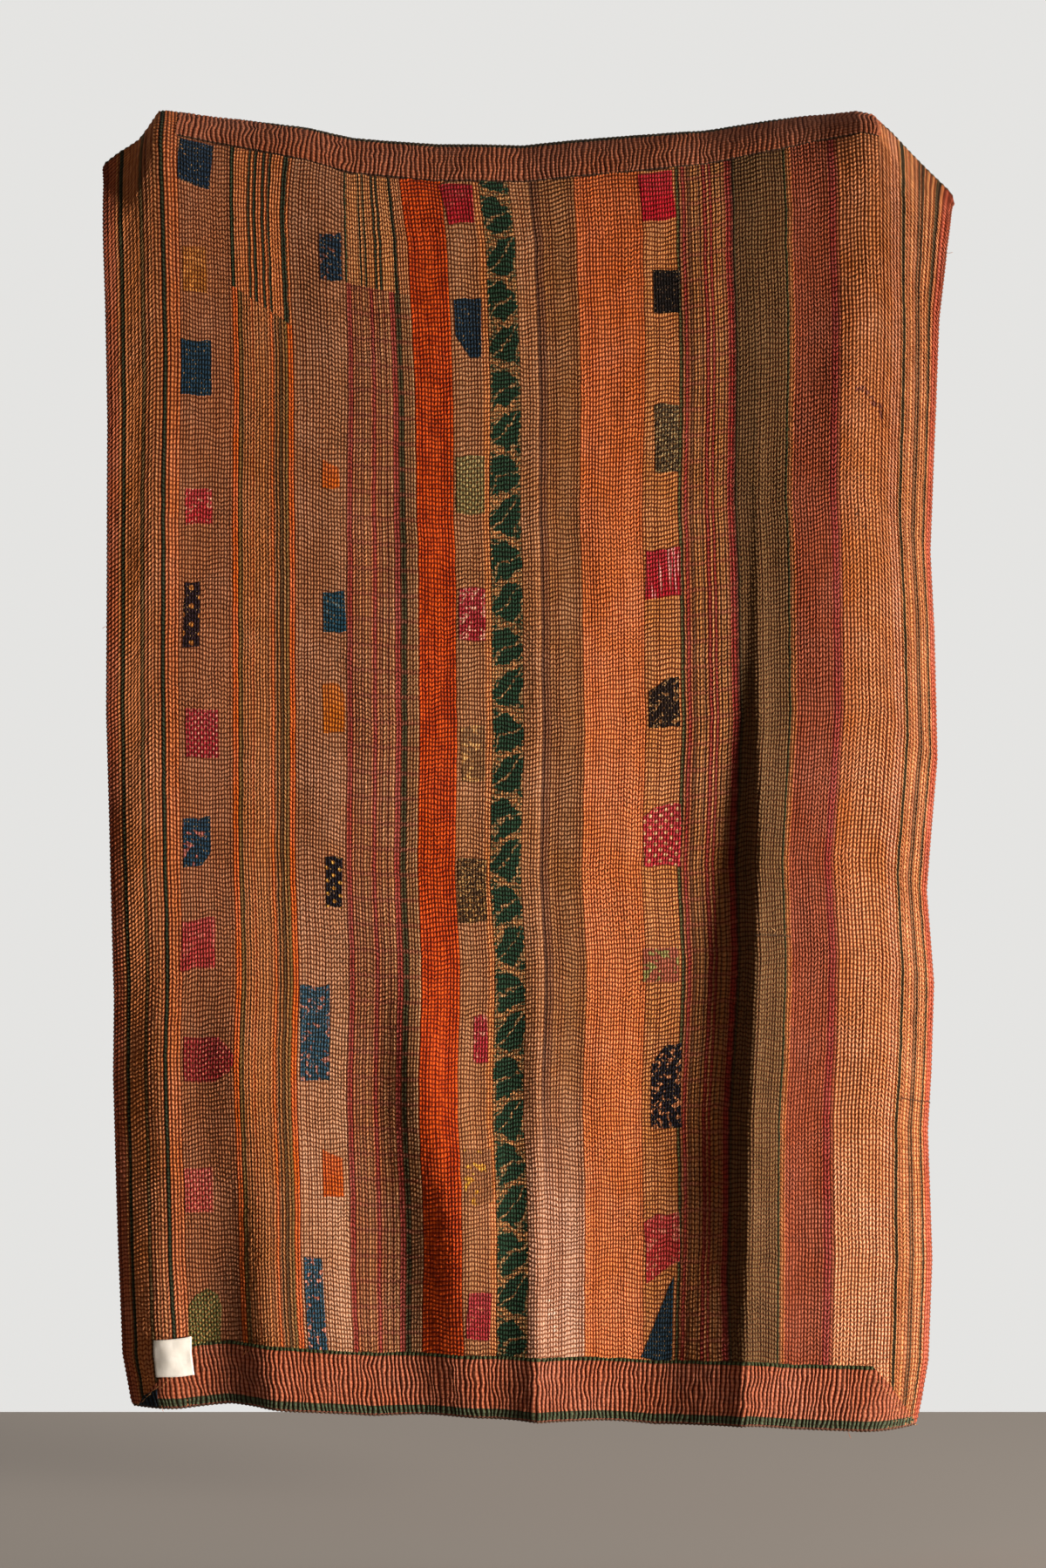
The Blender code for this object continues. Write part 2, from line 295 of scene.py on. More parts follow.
def ease(share):
    """A smooth step from 0 to 1."""
    share = np.clip(share, 0.0, 1.0)
    return share * share * (3.0 - 2.0 * share)


# The folded surface, from the same values as the part's own source

def fold_depth(across, share):
    """How far the folds stand towards the viewer at one height."""
    depth = np.zeros_like(across)
    for _, rounding, sections in FOLDS:
        heights = column(sections, 0)
        if share < heights[0] or share > heights[-1]:
            continue
        centre, height, left, right = [
            np.interp(share, heights, column(sections, index)) for index in range(1, 5)
        ]
        offset = across - centre
        reach = np.where(offset < 0.0, left, right)
        run = np.sqrt(offset ** 2 + rounding ** 2) - rounding
        depth += height * np.clip(1.0 - run / reach, 0.0, None) ** 2
    return depth


def roll_depth(across, share, left, right):
    """How far the side borders have rolled back."""
    left_reach, left_top, left_hem = LEFT_ROLL
    right_reach, right_top, right_hem = RIGHT_ROLL
    near_left = np.clip(1.0 - (across - left) / left_reach, 0.0, 1.0) ** 2
    near_right = np.clip(1.0 - (right - across) / right_reach, 0.0, 1.0) ** 2
    growth = ease(share / 0.25)
    left_back = left_top + (left_hem - left_top) * ease(share)
    right_back = right_top + (right_hem - right_top) * growth
    return near_left * left_back + near_right * right_back


def ripple_depth(across, share, left, right):
    """The slow unevenness of the cloth."""
    place = (across - left) / (right - left)
    depth = np.zeros_like(across)
    for waves_across, waves_down, angle_across, angle_down, height in RIPPLES:
        beside = np.sin(2.0 * np.pi * waves_across * place + angle_across)
        below = np.sin(2.0 * np.pi * waves_down * share + angle_down)
        depth += height * beside * below
    return depth


def lean_at(across, down):
    """How far back and how far below the top edge the leaning top lies."""
    lean = np.radians(np.interp(across, column(TOP_EDGE, 0), column(TOP_EDGE, 2)))
    left = lean * max(1.0 - down / LEAN_LENGTH, 0.0)
    back = LEAN_LENGTH / lean * (1.0 - np.cos(left))
    drop = LEAN_LENGTH / lean * (np.sin(lean) - np.sin(left))
    return back, drop + max(down - LEAN_LENGTH, 0.0)


def cloth_row(down, along):
    """Points of the smooth face at one distance down and many along."""
    share = down / FLAT_LENGTH
    left = np.interp(share, column(LEFT_EDGE, 0), column(LEFT_EDGE, 1))
    right = np.interp(share, column(RIGHT_EDGE, 0), column(RIGHT_EDGE, 1))
    across = np.linspace(left, right, WALK_STEPS)
    depth = fold_depth(across, share)
    depth -= roll_depth(across, share, left, right)
    depth += ripple_depth(across, share, left, right)
    steps = np.hypot(np.diff(across), np.diff(depth))
    walked = np.concatenate(([0.0], np.cumsum(steps)))
    place = np.asarray(along) / FLAT_WIDTH * walked[-1]
    x = np.interp(place, walked, across)
    back, drop = lean_at(x, down)
    full_drop = lean_at(x, FLAT_LENGTH)[1]
    top = np.interp(x, column(TOP_EDGE, 0), column(TOP_EDGE, 1))
    hem = np.interp(x, column(HEM, 0), column(HEM, 1))
    y = back - np.interp(place, walked, depth)
    z = top - drop / full_drop * (top - hem)
    return np.stack((x, y, z), axis=1)


def fine_surface():
    """The folded surface and its outward directions on an even flat grid."""
    rows = np.linspace(0.0, FLAT_LENGTH, FINE_ROWS)
    places = np.linspace(0.0, FLAT_WIDTH, FINE_PLACES)
    points = np.stack([cloth_row(down, places) for down in rows])
    outward = np.cross(np.gradient(points, axis=0), np.gradient(points, axis=1))
    outward *= np.sign(-outward[..., 1:2])
    outward /= np.linalg.norm(outward, axis=2, keepdims=True)
    points[..., 1] -= cloth_row(0.0, [FLAT_WIDTH / 2])[0][1]
    return points, outward


SURFACE, OUTWARD = fine_surface()


def between(table, row, place):
    """Values of a table read between its rows and columns, both given as real numbers."""
    row = np.clip(row, 0.0, table.shape[0] - 1.001)
    place = np.clip(place, 0.0, table.shape[1] - 1.001)
    upper, left = row.astype(int), place.astype(int)
    below, beside = (row - upper)[..., None], (place - left)[..., None]
    first = table[upper, left] * (1.0 - beside) + table[upper, left + 1] * beside
    second = table[upper + 1, left] * (1.0 - beside) + table[upper + 1, left + 1] * beside
    return first * (1.0 - below) + second * below


def on_cloth(down, along, lift=0.0):
    """Points that stand a little off the folded surface, and the outward directions."""
    down, along = np.broadcast_arrays(np.asarray(down, float), np.asarray(along, float))
    row = down / FLAT_LENGTH * (FINE_ROWS - 1)
    place = along / FLAT_WIDTH * (FINE_PLACES - 1)
    outward = between(OUTWARD, row, place)
    lift = np.broadcast_to(np.asarray(lift, float), down.shape)
    return between(SURFACE, row, place) + outward * lift[..., None], outward


def seen_place(points):
    """Where the viewer sees points, in metres across and up in the hanging plane."""
    nearer = HANG_DEPTH - points[..., 1]
    growth = 1.0 / (1.0 - nearer / VIEW_DISTANCE)
    across = points[..., 0] * growth
    up = VIEW_HEIGHT + (points[..., 2] - VIEW_HEIGHT) * growth
    return across, up


def slow_noise(shape, cells, rng):
    """Soft random values from -1 to 1 with about this many humps down and across."""
    coarse = rng.uniform(-1.0, 1.0, (cells[0] + 2, cells[1] + 2, 1))
    row = np.linspace(0.0, cells[0], shape[0])
    place = np.linspace(0.0, cells[1], shape[1])
    row = row.astype(int) + ease(row % 1.0)
    place = place.astype(int) + ease(place % 1.0)
    row, place = np.meshgrid(row, place, indexing="ij")
    return between(coarse, row, place)[..., 0]


# A woven piece before it is cut: its points, its outward directions, its flat
# places in metres, and its places counted in stitches
Weave = namedtuple("Weave", "points outward cloth stitch")


def laid_flat(along, down):
    """Two flat distances as points, the way a mesh keeps them."""
    return np.stack((along, down, np.zeros_like(down)), axis=2)


def seam_places():
    """Flat distances along of every seam, at the measured heights."""
    places = np.linspace(0.0, FLAT_WIDTH, FINE_PLACES)
    table = []
    for height, share in enumerate(SEAM_SHARES):
        across, _ = seen_place(on_cloth(np.full(FINE_PLACES, share * FLAT_LENGTH), places)[0])
        seen = [seam[height] / 1000.0 for *_, seam in STRIPS[:-1]]
        table.append([0.0, *np.interp(seen, across, places), FLAT_WIDTH])
    return np.array(table)


def stitched_face(rng):
    """The whole face as one weave of puffed stitches, and the column of each seam."""
    stitches = [strip[1] for strip in STRIPS]
    first = np.concatenate(([0], np.cumsum(stitches))) * 2
    rows, columns = 2 * STITCH_ROWS, first[-1]
    level = np.linspace(0.0, FLAT_LENGTH, rows + 1)
    seams = seam_places()
    at_level = np.stack([
        np.interp(level / FLAT_LENGTH, SEAM_SHARES, seams[:, index])
        for index in range(len(first))
    ], axis=1)
    along = np.stack([np.interp(np.arange(columns + 1), first, line) for line in at_level])
    down = np.repeat(level[:, None], columns + 1, axis=1)

    fade = ease(level / ROW_FADE) * ease((FLAT_LENGTH - level) / ROW_FADE)
    wave = -ROW_RISE * (along / FLAT_WIDTH - 0.5)
    for across_length, down_length, start, height in ROW_WAVES:
        sway = 0.4 * np.sin(2.0 * np.pi * down / down_length)
        turn = 2.0 * np.pi * (along / across_length + sway)
        wave += height * np.sin(turn + start)
    for humps, columns_to_hump in DRIFT_HUMPS:
        wave += COLUMN_DRIFT * slow_noise(down.shape, (humps, columns // columns_to_hump), rng)
    upright = np.repeat([strip[3] for strip in STRIPS], stitches)
    corners = np.arange(columns + 1)
    lean = STITCH_TILT * ROW_SPACE * np.interp(corners, corners[1::2], upright) ** 1.5
    lean = lean * np.array(TILT_TURNS)[corners % len(TILT_TURNS)]
    lean = lean * np.clip(0.50 + 0.75 * slow_noise(down.shape, (34, 30), rng), 0.0, 1.1)
    down = down + fade[:, None] * (wave + lean)
    inside = np.ones(columns + 1)
    inside[[0, -1]] = 0.0
    along = along + STRAY * inside * slow_noise(along.shape, (90, 70), rng)

    # A crest in the middle of each stitch, and grooves between the stitches
    cells = PUFF * rng.uniform(*PUFF_RANGE, (STITCH_ROWS, columns // 2))
    cells *= 1.0 + PUFF_DRIFT * slow_noise(cells.shape, (40, 50), rng)
    puff = np.zeros_like(down)
    puff[1::2, 1::2] = cells
    filled = rng.uniform(*FILLING, columns // 2 - 1) * (1.0 - UPRIGHT_DEPTH * upright[:-1])
    drift = slow_noise((STITCH_ROWS, len(filled)), (45, len(filled) // 2), rng)
    filled = filled + FILLING_DRIFT * drift
    filled[:, first[1:-1] // 2 - 1] = SEAM_FILLING
    puff[1::2, 2:-1:2] = filled * (cells[:, 1:] + cells[:, :-1]) / 2
    level_filled = LEVEL_SLOPE * upright + LEVEL_BASE
    puff[2:-1:2, 1::2] = level_filled * (cells[1:] + cells[:-1]) / 2

    # The bands press the face flat under them, but not the side borders
    under = ease((level - BAND_HEIGHT * COVERED) / COVER_EDGE)
    under *= ease((FLAT_LENGTH - BAND_HEIGHT * COVERED - level) / COVER_EDGE)
    under = np.repeat(under[:, None], columns + 1, axis=1)
    under[:, :first[1]] = 1.0
    under[:, first[-2]:] = 1.0
    puff *= COVERED_PUFF + (1.0 - COVERED_PUFF) * under
    points, outward = on_cloth(down, along, puff)
    row, place = np.indices(down.shape)
    return Weave(points, outward, laid_flat(along, down), laid_flat(place / 2, row / 2)), first


def ridged_band(nearest_edge, ridge_height, rng):
    """A band as a weave of upright ridges, its places measured from its outer edge."""
    ridges = round(FLAT_WIDTH / RIDGE_SPACE)
    rows, columns = ROW_STEPS * BAND_STITCH_ROWS, RIDGE_STEPS * ridges
    from_edge = down = np.linspace(0.0, BAND_HEIGHT, rows + 1)
    if nearest_edge == "hem":
        from_edge = from_edge[::-1]
        down = FLAT_LENGTH - from_edge
    along = np.repeat(np.linspace(0.0, FLAT_WIDTH, columns + 1)[None], rows + 1, axis=0)
    along = along + RIDGE_WANDER * slow_noise(along.shape, (4, 70), rng)
    along = along + RIDGE_WANDER / 2 * slow_noise(along.shape, (9, 130), rng)
    along = np.clip(along, 0.0, FLAT_WIDTH)
    profile = np.array(RIDGE_PROFILE)[np.arange(columns + 1) % RIDGE_STEPS]
    profile = np.repeat(profile[None], rows + 1, axis=0)
    joins = slow_noise((rows + 1, ridges + 1), (3, ridges), rng)
    profile[:, ::RIDGE_STEPS] += JOINED_HEIGHT * ease((joins - JOINED_FROM) / JOINED_OVER)
    stitched = np.array(ROW_PROFILE)[np.arange(rows + 1) % ROW_STEPS]
    profile *= stitched[:, None] * (1.0 + RIDGE_UNEVEN * slow_noise(profile.shape, (7, 120), rng))
    from_end = np.minimum(along - BAND_ENDS[0], BAND_ENDS[1] - along)
    profile *= FLATTENED + (1.0 - FLATTENED) * ease(from_end / FLATTENING)
    turned = ease(from_edge / 0.004) * ease((BAND_HEIGHT - from_edge) / 0.003)
    lift = BAND_LIFT * (0.3 + 0.7 * turned[:, None]) + ridge_height * profile * turned[:, None]
    points, outward = on_cloth(down[:, None], along, lift)
    from_edge = np.repeat(from_edge[:, None], columns + 1, axis=1)
    row, place = np.indices(along.shape)
    stitch = laid_flat(place / RIDGE_STEPS, row / ROW_STEPS)
    return Weave(points, outward, laid_flat(along, from_edge), stitch)


def back_cloth():
    """The plain cloth of the back, seen from behind."""
    down, along = np.meshgrid(np.linspace(0.0, FLAT_LENGTH, BACK_ROWS + 1),
                              np.linspace(FLAT_WIDTH, 0.0, BACK_COLUMNS + 1), indexing="ij")
    points, outward = on_cloth(down, along, -BODY_THICKNESS)
    stitch = laid_flat(along / BACK_STITCH, down / ROW_SPACE)
    return Weave(points, -outward, laid_flat(along, down), stitch)


def rolled_edge(down, along, radius, beads):
    """A turned edge as a round roll that is pinched by each stitch."""
    down, along = np.broadcast_arrays(down, along)
    middle, outward = on_cloth(down, along, -BODY_THICKNESS / 2)
    run = np.gradient(middle, axis=0)
    run /= np.linalg.norm(run, axis=1, keepdims=True)
    side = np.cross(run, outward)
    share = np.linspace(0.0, 1.0, len(down))
    thick = radius * (1.0 - 0.28 * np.cos(2.0 * np.pi * beads * share))
    thick *= np.clip(np.minimum(share, 1.0 - share) * 400.0, 0.02, 1.0)
    angles = np.linspace(0.0, 2.0 * np.pi, ROLL_SIDES + 1)[None]
    ring = np.cos(angles)[..., None] * side[:, None] + np.sin(angles)[..., None] * outward[:, None]
    points = middle[:, None] + ring * thick[:, None, None]
    walked = np.concatenate(([0.0], np.cumsum(np.linalg.norm(np.diff(middle, axis=0), axis=1))))
    walked = np.repeat(walked[:, None], ROLL_SIDES + 1, axis=1)
    around = np.repeat(angles * radius, len(down), axis=0)
    bead = np.repeat(share[:, None] * beads, ROLL_SIDES + 1, axis=1)
    return Weave(points, ring, laid_flat(around, walked), laid_flat(np.full_like(bead, 0.5), bead))


# Meshes

def add_piece(name, points, faces, cloth, stitch, flat, material, facets=False):
    """An object with its flat places, its stitch places and a flat map for baking.

    Facets keep the edges between a stitch's faces sharp, as the tight thread pulls them.
    """
    mesh = bpy.data.meshes.new(name)
    mesh.from_pydata(points.tolist(), [], faces.tolist() if hasattr(faces, "tolist") else faces)
    for attribute, values in (("cloth", cloth), ("stitch", stitch)):
        layer = mesh.attributes.new(attribute, "FLOAT_VECTOR", "POINT")
        layer.data.foreach_set("vector", np.ascontiguousarray(values, np.float32).ravel())
    corners = np.empty(len(mesh.loops), np.int32)
    mesh.loops.foreach_get("vertex_index", corners)
    layer = mesh.uv_layers.new(name="OFBake")
    layer.data.foreach_set("uv", np.ascontiguousarray(flat[corners], np.float32).ravel())
    mesh.materials.append(material)
    if facets:
        mesh.shade_flat()
    else:
        mesh.shade_smooth()
    piece = bpy.data.objects.new(name, mesh)
    bpy.context.scene.collection.objects.link(piece)
    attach(piece, "root")
    return piece


def add_weave(name, weave, material, facets=False):
    """A whole rectangular weave as one piece, its face towards the viewer.

    Every other face starts at its next corner, so that all four faces of a stitch are
    split towards its crest.
    """
    rows, columns = weave.points.shape[:2]
    index = np.arange(rows * columns).reshape(rows, columns)
    faces = np.stack((index[:-1, :-1], index[1:, :-1], index[1:, 1:], index[:-1, 1:]), axis=-1)
    row, place = np.indices((rows, columns))
    odd = (row + place)[:-1, :-1] % 2 == 1
    faces[odd] = np.roll(faces[odd], 1, axis=-1)
    faces = faces.reshape(-1, 4)
    flat = np.stack((place / (columns - 1), 1.0 - row / (rows - 1)), axis=2)
    return add_piece(name, weave.points.reshape(-1, 3), faces, weave.cloth.reshape(-1, 3),
                     weave.stitch.reshape(-1, 3), flat.reshape(-1, 2), material, facets)


def part_of(weave, left, right):
    """The columns of a weave from left to right."""
    return Weave(*[values[:, left:right + 1].copy() for values in weave])


def cut_piece(name, weave, corners, lift, drop, material, centred=True, facets=False):
    """A piece cut from a weave along straight lines, with its edge turned down.

    Corners are (row, column) places, clockwise as the viewer sees them.
    """
    corners = np.array(corners, float)
    low = np.maximum(np.floor(corners.min(axis=0)).astype(int), 0)
    high = np.ceil(corners.max(axis=0)).astype(int)
    high = np.minimum(high, np.array(weave.points.shape[:2]) - 1)
    shape = bmesh.new()
    spots = [[shape.verts.new((place, -row, 0.0)) for place in range(low[1], high[1] + 1)]
             for row in range(low[0], high[0] + 1)]
    for row, (upper, lower) in enumerate(zip(spots, spots[1:])):
        for index in range(len(upper) - 1):
            around = (upper[index], lower[index], lower[index + 1], upper[index + 1])
            odd = (row + index + low[0] + low[1]) % 2
            shape.faces.new(around[-odd:] + around[:-odd] if odd else around)
    for start, end in zip(corners, np.roll(corners, -1, axis=0)):
        run = np.array((end[1] - start[1], -(end[0] - start[0])))
        bmesh.ops.bisect_plane(
            shape, geom=shape.verts[:] + shape.edges[:] + shape.faces[:],
            plane_co=(start[1], -start[0], 0.0), plane_no=(-run[1], run[0], 0.0),
            clear_outer=True,
        )
    rim = [edge for edge in shape.edges if edge.is_boundary]
    turned = bmesh.ops.extrude_edge_only(shape, edges=rim)["geom"]
    turned = {vert for vert in turned if isinstance(vert, bmesh.types.BMVert)}
    shape.verts.index_update()
    shape.verts.ensure_lookup_table()
    places = np.array([vert.co for vert in shape.verts])
    lowered = np.array([vert in turned for vert in shape.verts])
    faces = [[vert.index for vert in face.verts] for face in shape.faces]
    shape.free()

    # Blender's cuts list the corners in no fixed order, so they are put in one
    order = np.lexsort((lowered, *np.round(places[:, :2].T, 4)))
    rank = np.argsort(order).tolist()
    faces = sorted([rank[corner] for corner in face] for face in faces)
    places, lowered = places[order], lowered[order]
    row, place = -places[:, 1], places[:, 0]
    height = np.where(lowered, lift - drop, lift)
    points = between(weave.points, row, place)
    points += between(weave.outward, row, place) * height[:, None]
    cloth = between(weave.cloth, row, place)
    if centred:
        cloth = cloth - between(weave.cloth, *corners.mean(axis=0)[:, None])
    flat = np.stack((place, -row), axis=1)
    flat = (flat - flat.min(axis=0)) / np.ptp(flat, axis=0)
    return add_piece(name, points, faces, cloth, between(weave.stitch, row, place), flat, material,
                     facets)


# Materials

def hue(code):
    """A colour written as sRGB hex, as the linear values a shader takes."""
    levels = [int(code[start:start + 2], 16) / 255.0 for start in (1, 3, 5)]
    return tuple(
        level / 12.92 if level <= 0.04045 else ((level + 0.055) / 1.055) ** 2.4
        for level in levels
    ) + (1.0,)


def add(tree, kind, inputs, **settings):
    """Adds a node and gives its outputs. An input is a plain value or another node's output.

    Inputs of MapRange: 0 the value, 1 and 2 what goes to 3 and 4.
    Inputs of Mix: 0 the share, 6 and 7 the colours. Of Math: 0, 1 and 2 in turn.
    """
    made = tree.nodes.new("ShaderNode" + kind)
    for name, value in settings.items():
        setattr(made, name, value)
    for socket, value in inputs.items():
        if isinstance(value, bpy.types.NodeSocket):
            tree.links.new(value, made.inputs[socket])
        else:
            made.inputs[socket].default_value = value
    return made.outputs


def steps(tree, factor, table, smooth=False):
    """Colours that change along a factor. Table: where each ends, its colour."""
    outputs = add(tree, "ValToRGB", {0: factor})
    ramp = outputs[0].node.color_ramp
    ramp.interpolation = "EASE" if smooth else "CONSTANT"
    start = 0.0
    for index, (end, code) in enumerate(table):
        place = end if smooth else start
        if index < 2:
            stop = ramp.elements[index]
            stop.position = place
        else:
            stop = ramp.elements.new(place)
        stop.color = hue(code)
        start = end
    return outputs[0]


# How far a groove slants over one stitch, as a share of a stitch, and the space between
# two threads of the weave. Real threads lie about 0.5 mm apart, too fine to show in the
# render, so they are drawn twice as coarse
SLANT = 0.08
WEAVE_SPACE = 0.0011

# How far stitches stray from even places, in stitches, with how many humps to a stitch,
# how wide the grooves are, in stitches, and how deep the level ones are in the bump and in the painted
# shade
STITCH_STRAY = 0.34
STRAY_HUMPS = 0.8
UPRIGHT_GROOVE = 0.42
LEVEL_GROOVE = 0.40
RIDGED_FLOOR = 0.45
LEVEL_FLOOR = 0.28

# Darkest and palest stitch, and what wear does to a dye: its saturation and value
STITCH_SHADES = (0.84, 1.14)
WORN_SATURATION = 0.72
WORN_VALUE = 1.45

# Depth of the shaded relief of stitches and of tape, in metres, and the share of it that
# the weave has
STITCH_RELIEF = 0.0013
TAPE_RELIEF = 0.0025
WEAVE_SHARE = 0.06

# Painted shade multiplied into the colour, from the bottom of a groove to the crest of a stitch
PAINTED_GROOVE_SHADE = ((0.0, "#70422a"), (0.18, "#b09078"), (0.5, "#eae0d6"), (1.0, "#ffffff"))

# Scales of the uneven patterns, in humps to the metre: slow fading of a cloth about 140 mm
# across, patches of dye 42 mm, wandering edges of stripes 18 mm and of bands 11 mm, ragged
# leaf edges 24 mm and notches 6 mm, squiggles 10 mm, rims of stains 4 mm, soil and creases
# of tape 17 and 22 mm
FADING_HUMPS = 7.0
DYE_HUMPS = 24.0
STRIPE_HUMPS = 55.0
BAND_HUMPS = 90.0
LEAF_HUMPS = 42.0
NOTCH_HUMPS = 160.0
SQUIGGLE_HUMPS = 95.0
STAIN_HUMPS = 260.0
SOIL_HUMPS = 60.0
CREASE_HUMPS = 45.0


def new_finish(name, roughness, specular):
    """A new material with its nodes and its shader."""
    material = bpy.data.materials.new(name)
    material.use_nodes = True
    shader = material.node_tree.nodes["Principled BSDF"]
    shader.inputs["Roughness"].default_value = roughness
    shader.inputs["Specular IOR Level"].default_value = specular
    return material, material.node_tree, shader


def plain_weave(tree, cloth):
    """Height of crossing threads, from -1 to 1."""
    turn = 2.0 * math.pi / WEAVE_SPACE
    threads = add(tree, "VectorMath", {0: cloth, 1: (turn, turn, 0.0)}, operation="MULTIPLY")[0]
    threads = add(tree, "VectorMath", {0: threads}, operation="SINE")[0]
    warp, weft, _ = add(tree, "SeparateXYZ", {0: threads})
    return add(tree, "Math", {0: warp, 1: weft}, operation="MULTIPLY")[0]


def quilt_finish(name, paint, puff=1.0, worn=0.30, thread=None, ridged=False, upright=0.7):
    """Hand-quilted cotton: matt, puffed between rows of running stitch.

    Grooves are painted dark and reddish as painted shade where the relief holds shadow; crests keep
    the cloth's colour.
    Thread is the colour of stitches that show as small specks.
    """
    material, tree, shader = new_finish(name, roughness=0.92, specular=0.10)
    shader.inputs["Sheen Weight"].default_value = 0.03
    cloth = add(tree, "Attribute", {}, attribute_name="cloth")[1]
    stitch = add(tree, "Attribute", {}, attribute_name="stitch")[1]

    loose = add(tree, "TexNoise", {"Vector": stitch, "Scale": STRAY_HUMPS, "Detail": 3.0})[1]
    drift = add(tree, "VectorMath", {0: loose, 1: (0.5, 0.5, 0.5)}, operation="SUBTRACT")[0]
    stray = (STITCH_STRAY, STITCH_STRAY, 0.0)
    stitch = add(tree, "VectorMath", {0: drift, 1: stray, 2: stitch}, operation="MULTIPLY_ADD")[0]
    across, down, _ = add(tree, "SeparateXYZ", {0: stitch})
    within = add(tree, "Math", {0: down}, operation="FRACT")[0]
    leaning = add(tree, "Math", {0: within, 1: 0.0 if ridged else SLANT, 2: across},
                  operation="MULTIPLY_ADD")[0]
    groove = add(tree, "Math", {0: leaning}, operation="ROUND")[0]
    slack = add(tree, "TexWhiteNoise", {"W": groove}, noise_dimensions="1D")[0]
    slack = add(tree, "Math", {0: slack, 1: 1.0 - 0.80 * upright}, operation="MULTIPLY")[0]
    beside = add(tree, "Math", {0: leaning, 1: 0.5}, operation="PINGPONG")[0]
    below = add(tree, "Math", {0: down, 1: 0.5}, operation="PINGPONG")[0]
    beside = add(tree, "MapRange", {0: beside, 1: 0.0, 2: UPRIGHT_GROOVE, 3: slack, 4: 1.0},
                 interpolation_type="SMOOTHSTEP")[0]
    level_floor = RIDGED_FLOOR if ridged else LEVEL_FLOOR * upright
    below = add(tree, "MapRange", {0: below, 1: 0.0, 2: LEVEL_GROOVE, 3: level_floor, 4: 1.0},
                interpolation_type="SMOOTHSTEP")[0]
    pillow = add(tree, "Math", {0: beside, 1: below}, operation="MULTIPLY")[0]

    ground = paint(tree, cloth)
    fading = add(tree, "TexNoise", {"Vector": cloth, "Scale": FADING_HUMPS, "Detail": 5.0,
                                    "Roughness": 0.65})[0]
    fading = add(tree, "MapRange", {0: fading, 1: 0.42, 2: 0.72, 3: 0.0, 4: worn})[0]
    faded = add(tree, "HueSaturation", {"Saturation": WORN_SATURATION, "Value": WORN_VALUE,
                                        "Color": ground})[0]
    ground = add(tree, "Mix", {0: fading, 6: ground, 7: faded}, data_type="RGBA")[2]
    each = add(tree, "VectorMath", {0: stitch}, operation="FLOOR")[0]
    each = add(tree, "TexWhiteNoise", {"Vector": each}, noise_dimensions="2D")[0]
    each = add(tree, "MapRange", {0: each, 3: STITCH_SHADES[0], 4: STITCH_SHADES[1]})[0]
    each = add(tree, "CombineXYZ", {0: each, 1: each, 2: each})[0]
    # Painted shade: the grooves darken and redden with their depth
    shade = steps(tree, pillow, PAINTED_GROOVE_SHADE, smooth=True)
    for tint in (each, shade):
        ground = add(tree, "Mix", {0: 1.0, 6: ground, 7: tint}, data_type="RGBA",
                     blend_type="MULTIPLY")[2]
    if thread:
        corner = add(tree, "VectorMath", {0: stitch, 1: (0.5, 0.5, 0.0)}, operation="ADD")[0]
        corner = add(tree, "VectorMath", {0: corner}, operation="FLOOR")[0]
        away = add(tree, "VectorMath", {0: stitch, 1: corner}, operation="DISTANCE")[1]
        shown = add(tree, "TexWhiteNoise", {"Vector": corner}, noise_dimensions="2D")[0]
        shown = add(tree, "MapRange", {0: shown, 1: 0.55, 2: 1.0, 3: 0.0, 4: 0.20})[0]
        knots = add(tree, "Math", {0: away, 1: shown}, operation="LESS_THAN")[0]
        knots = add(tree, "Math", {0: knots, 1: 0.8}, operation="MULTIPLY")[0]
        ground = add(tree, "Mix", {0: knots, 6: ground, 7: hue(thread)}, data_type="RGBA")[2]

    height = add(tree, "Math", {0: plain_weave(tree, cloth), 1: WEAVE_SHARE, 2: pillow},
                 operation="MULTIPLY_ADD")[0]
    bump = add(tree, "Bump", {"Strength": puff, "Distance": STITCH_RELIEF, "Height": height})[0]
    tree.links.new(ground, shader.inputs["Base Color"])
    tree.links.new(bump, shader.inputs["Normal"])
    return material


def stripes(tree, cloth, place, table, humps, wander):
    """Stripes with slightly uneven edges. Table: where each ends in millimetres, its colour."""
    width = table[-1][0]
    uneven = add(tree, "TexNoise", {"Vector": cloth, "Scale": humps, "Detail": 2.0})[0]
    uneven = add(tree, "MapRange", {0: uneven, 3: -wander, 4: wander})[0]
    place = add(tree, "Math", {0: place, 1: 1000.0, 2: uneven}, operation="MULTIPLY_ADD")[0]
    share = add(tree, "Math", {0: place, 1: width}, operation="DIVIDE")[0]
    return steps(tree, share, [(end / width, code) for end, code in table])


def striped(table):
    """Paint of stripes woven along a strip, their edges straying by up to 1.2 mm."""
    def paint(tree, cloth):
        across = add(tree, "SeparateXYZ", {0: cloth})[0]
        return stripes(tree, cloth, across, table, STRIPE_HUMPS, 1.2)
    return paint


def checked(table, cross, space):
    """Paint of woven stripes crossed by soft lines of another colour."""
    def paint(tree, cloth):
        ground = striped(table)(tree, cloth)
        down = add(tree, "SeparateXYZ", {0: cloth})[1]
        lines = add(tree, "Math", {0: down, 1: space}, operation="PINGPONG")[0]
        lines = add(tree, "MapRange", {0: lines, 1: space * 0.10, 2: space * 0.22, 3: 0.55, 4: 0.0})[0]
        return add(tree, "Mix", {0: lines, 6: ground, 7: hue(cross)}, data_type="RGBA")[2]
    return paint


def joined(upper, lower, seam, step):
    """Paint of two cloths, the upper one ending at a stepped seam down the strip."""
    def paint(tree, cloth):
        across, down, _ = add(tree, "SeparateXYZ", {0: cloth})
        slope = add(tree, "Math", {0: across, 1: -step, 2: down}, operation="MULTIPLY_ADD")[0]
        below = add(tree, "Math", {0: slope, 1: seam}, operation="GREATER_THAN")[0]
        return add(tree, "Mix", {0: below, 6: upper(tree, cloth), 7: lower(tree, cloth)},
                   data_type="RGBA")[2]
    return paint


